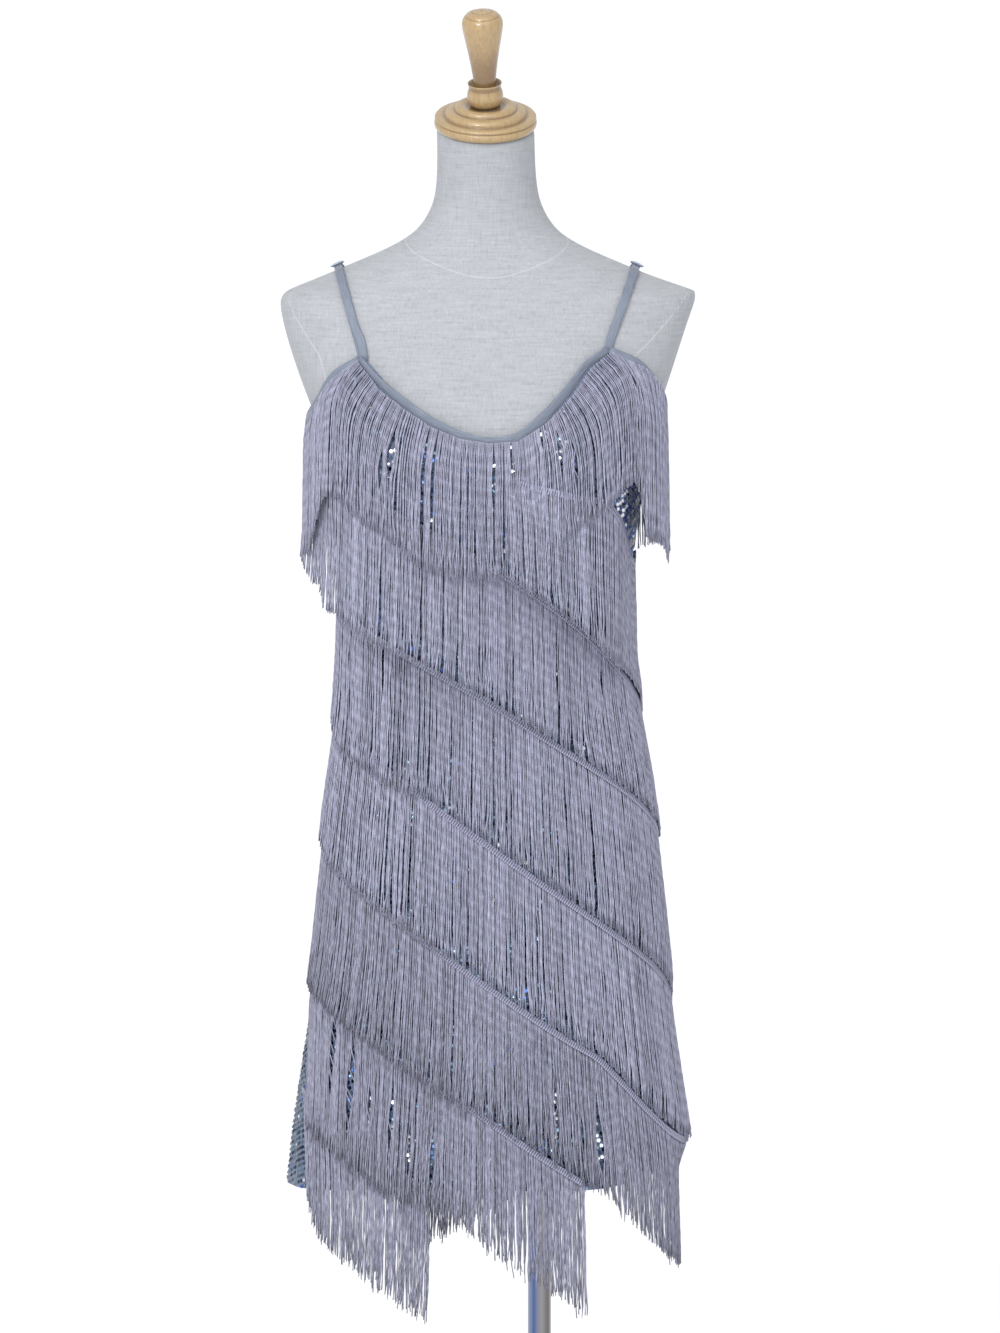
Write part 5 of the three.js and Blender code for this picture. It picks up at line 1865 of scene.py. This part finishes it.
CAMERA_DISTANCE = 6.0
CAMERA_ELEVATION = math.radians(8)
CAMERA_TARGET = Vector((BODY_AXIS_X + 10 * MM, 0, 0.944))
CAMERA_LENS = 175  # millimetres, as is its sensor
CAMERA_SENSOR = 36
CAMERA_REACH = 100.0
LIGHT_TARGET = Vector((BODY_AXIS_X, 0, 0.9))
ROOM_COLOUR, ROOM_STRENGTH = "#fbfcff", 0.8
LIGHTS = [
    {
        "name": "broad_light",
        "kind": "SUN",
        "place": (-0.9, -4.4, 4.7),
        "energy": 1.64,
        "angle": math.radians(70),
    },
    {"name": "softbox", "kind": "AREA", "place": (-1.4, -3.4, 2.9), "energy": 45, "size": 0.9},
]


def add_camera():
    """The camera stands in front of the dress, a little to the right, and looks slightly down."""
    camera_data = bpy.data.cameras.new("camera")
    camera_data.lens = CAMERA_LENS
    camera_data.sensor_width = CAMERA_SENSOR
    camera_data.clip_end = CAMERA_REACH
    camera = bpy.data.objects.new("camera", camera_data)
    bpy.context.scene.collection.objects.link(camera)
    away = Vector((0, -math.cos(CAMERA_ELEVATION), math.sin(CAMERA_ELEVATION)))
    camera.location = CAMERA_TARGET + away * CAMERA_DISTANCE
    camera.rotation_euler = (CAMERA_TARGET - camera.location).to_track_quat("-Z", "Y").to_euler()
    bpy.context.scene.camera = camera


def add_light(name, kind, place, energy, **settings):
    """A soft light aimed at the dress's middle."""
    light_data = bpy.data.lights.new(name, kind)
    light_data.energy = energy
    for key, value in settings.items():
        setattr(light_data, key, value)
    light = bpy.data.objects.new(name, light_data)
    bpy.context.scene.collection.objects.link(light)
    light.location = place
    light.rotation_euler = (LIGHT_TARGET - light.location).to_track_quat("-Z", "Y").to_euler()


def add_studio():
    """White room light, a very broad light from the upper left, a small softbox and a paper floor."""
    world = bpy.data.worlds.new("room_light")
    world.use_nodes = True
    background = world.node_tree.nodes["Background"]
    background.inputs["Color"].default_value = linear(ROOM_COLOUR)
    background.inputs["Strength"].default_value = ROOM_STRENGTH
    bpy.context.scene.world = world
    for light in LIGHTS:
        add_light(**light)
    floor_mesh = bpy.data.meshes.new("paper_floor")
    corners = [(x * FLOOR_HALF, y * FLOOR_HALF, 0) for x, y in ((-1, -1), (1, -1), (1, 1), (-1, 1))]
    floor_mesh.from_pydata(corners, [], [(0, 1, 2, 3)])
    floor_mesh.materials.append(make_studio_floor())
    floor = bpy.data.objects.new("paper_floor", floor_mesh)
    bpy.context.scene.collection.objects.link(floor)
    bpy.context.scene.view_settings.view_transform = "Standard"


# ---------------------------------------------------------------------------------------------
# The whole thing

add_camera()
add_studio()
add_form()
add_stand()

front_net, front_wall = add_net("net_front", "front_panel", FRONT_FOLDS)
back_net, back_wall = add_net("net_back", "back_panel", BACK_FOLDS)
front_sequins = add_sequins("sequins_front", front_wall, FRONT_FOLDS, seed=11)
back_sequins = add_sequins("sequins_back", back_wall, BACK_FOLDS, seed=12)

front_trims = [
    add_binding("elastic_neck", "binding_neck"),
    add_binding("elastic_armhole_left", "binding_armhole_left"),
    add_binding("elastic_armhole_right", "binding_armhole_right"),
]
back_trims = [add_binding("elastic_back", "binding_back")]
front_walls = [Wall(f"fringe_front_{number}") for number in range(1, 8)]
back_walls = [Wall(f"fringe_back_{number}") for number in range(1, 7)]
front_walls[0].raised(front_wall, np.interp(front_walls[0].turns, *FIRST_ROW_DRAWN_UP) * MM)
front_walls[0].carried_on(front_wall, FIRST_ROW_TURN)
front_walls[1].carried_on(front_wall, SECOND_ROW_TURN)
front_trims.append(
    add_fringe(
        "fringe_top_front",
        seed=20,
        has_tape=False,
        below=front_walls[1],
        shows_from=TOP_SHOWS_FROM,
        lean=neckline_lean,
        line=underarm_line,
        start=TOP_START,
        cover=armhole_cover,
        plumb=True,
    )
)
back_trims.append(
    add_fringe(
        "fringe_top_back", seed=21, has_tape=False, line=underarm_line, start=TOP_START, plumb=True
    )
)
hem_row = {
    "ragged": HEM_RAGGEDNESS,
    "pitch": HEM_PITCH,
    "tone": HEM_PAINTED_SHADE_TONE,
    "tip_painted_shade": HEM_TIP_PAINTED_SHADE,
}
front_changes = [
    {},
    {"shorter": second_row_rise, "flare": second_row_flare, "pitch": SECOND_ROW_PITCH},
    {"shorter": left_end_rise},
    {"shorter": left_end_rise},
    {"shorter": right_end_rise, "tuck": right_end_tuck, **hem_row},
    {"shorter": sixth_row_rise, "upright": left_upright, **hem_row},
    {"shorter": seventh_row_rise, "upright": seventh_row_upright, **hem_row},
]
for place, (wall, changes) in enumerate(zip(front_walls, front_changes)):
    if place + 1 < len(front_walls):
        changes = {"below": front_walls[place + 1], "shows_from": TAPE_SHOWS_FROM[place], **changes}
    row = add_fringe(f"fringe_front_{place + 1}", FRONT_SEED + place, wall, **changes)
    front_trims.append(row)
back_changes = [
    {},
    {"shorter": back_second_rise},
    {},
    {"upright": left_upright},
    {"upright": left_upright, **hem_row},
    hem_row,
]
for place, (wall, changes) in enumerate(zip(back_walls, back_changes)):
    if place + 1 < len(back_walls):
        changes = {"below": back_walls[place + 1], **changes}
    row = add_fringe(f"fringe_back_{place + 1}", BACK_SEED + place, wall, **changes)
    back_trims.append(row)

for word, splay in STRAP_SLIPS.items():
    front_trims.append(
        add_strap(f"elastic_strap_{word}", f"strap_{word}", f"strap_slider_{word}", splay)
    )
    front_trims.append(add_slider(f"nylon_slider_{word}", f"strap_slider_{word}"))
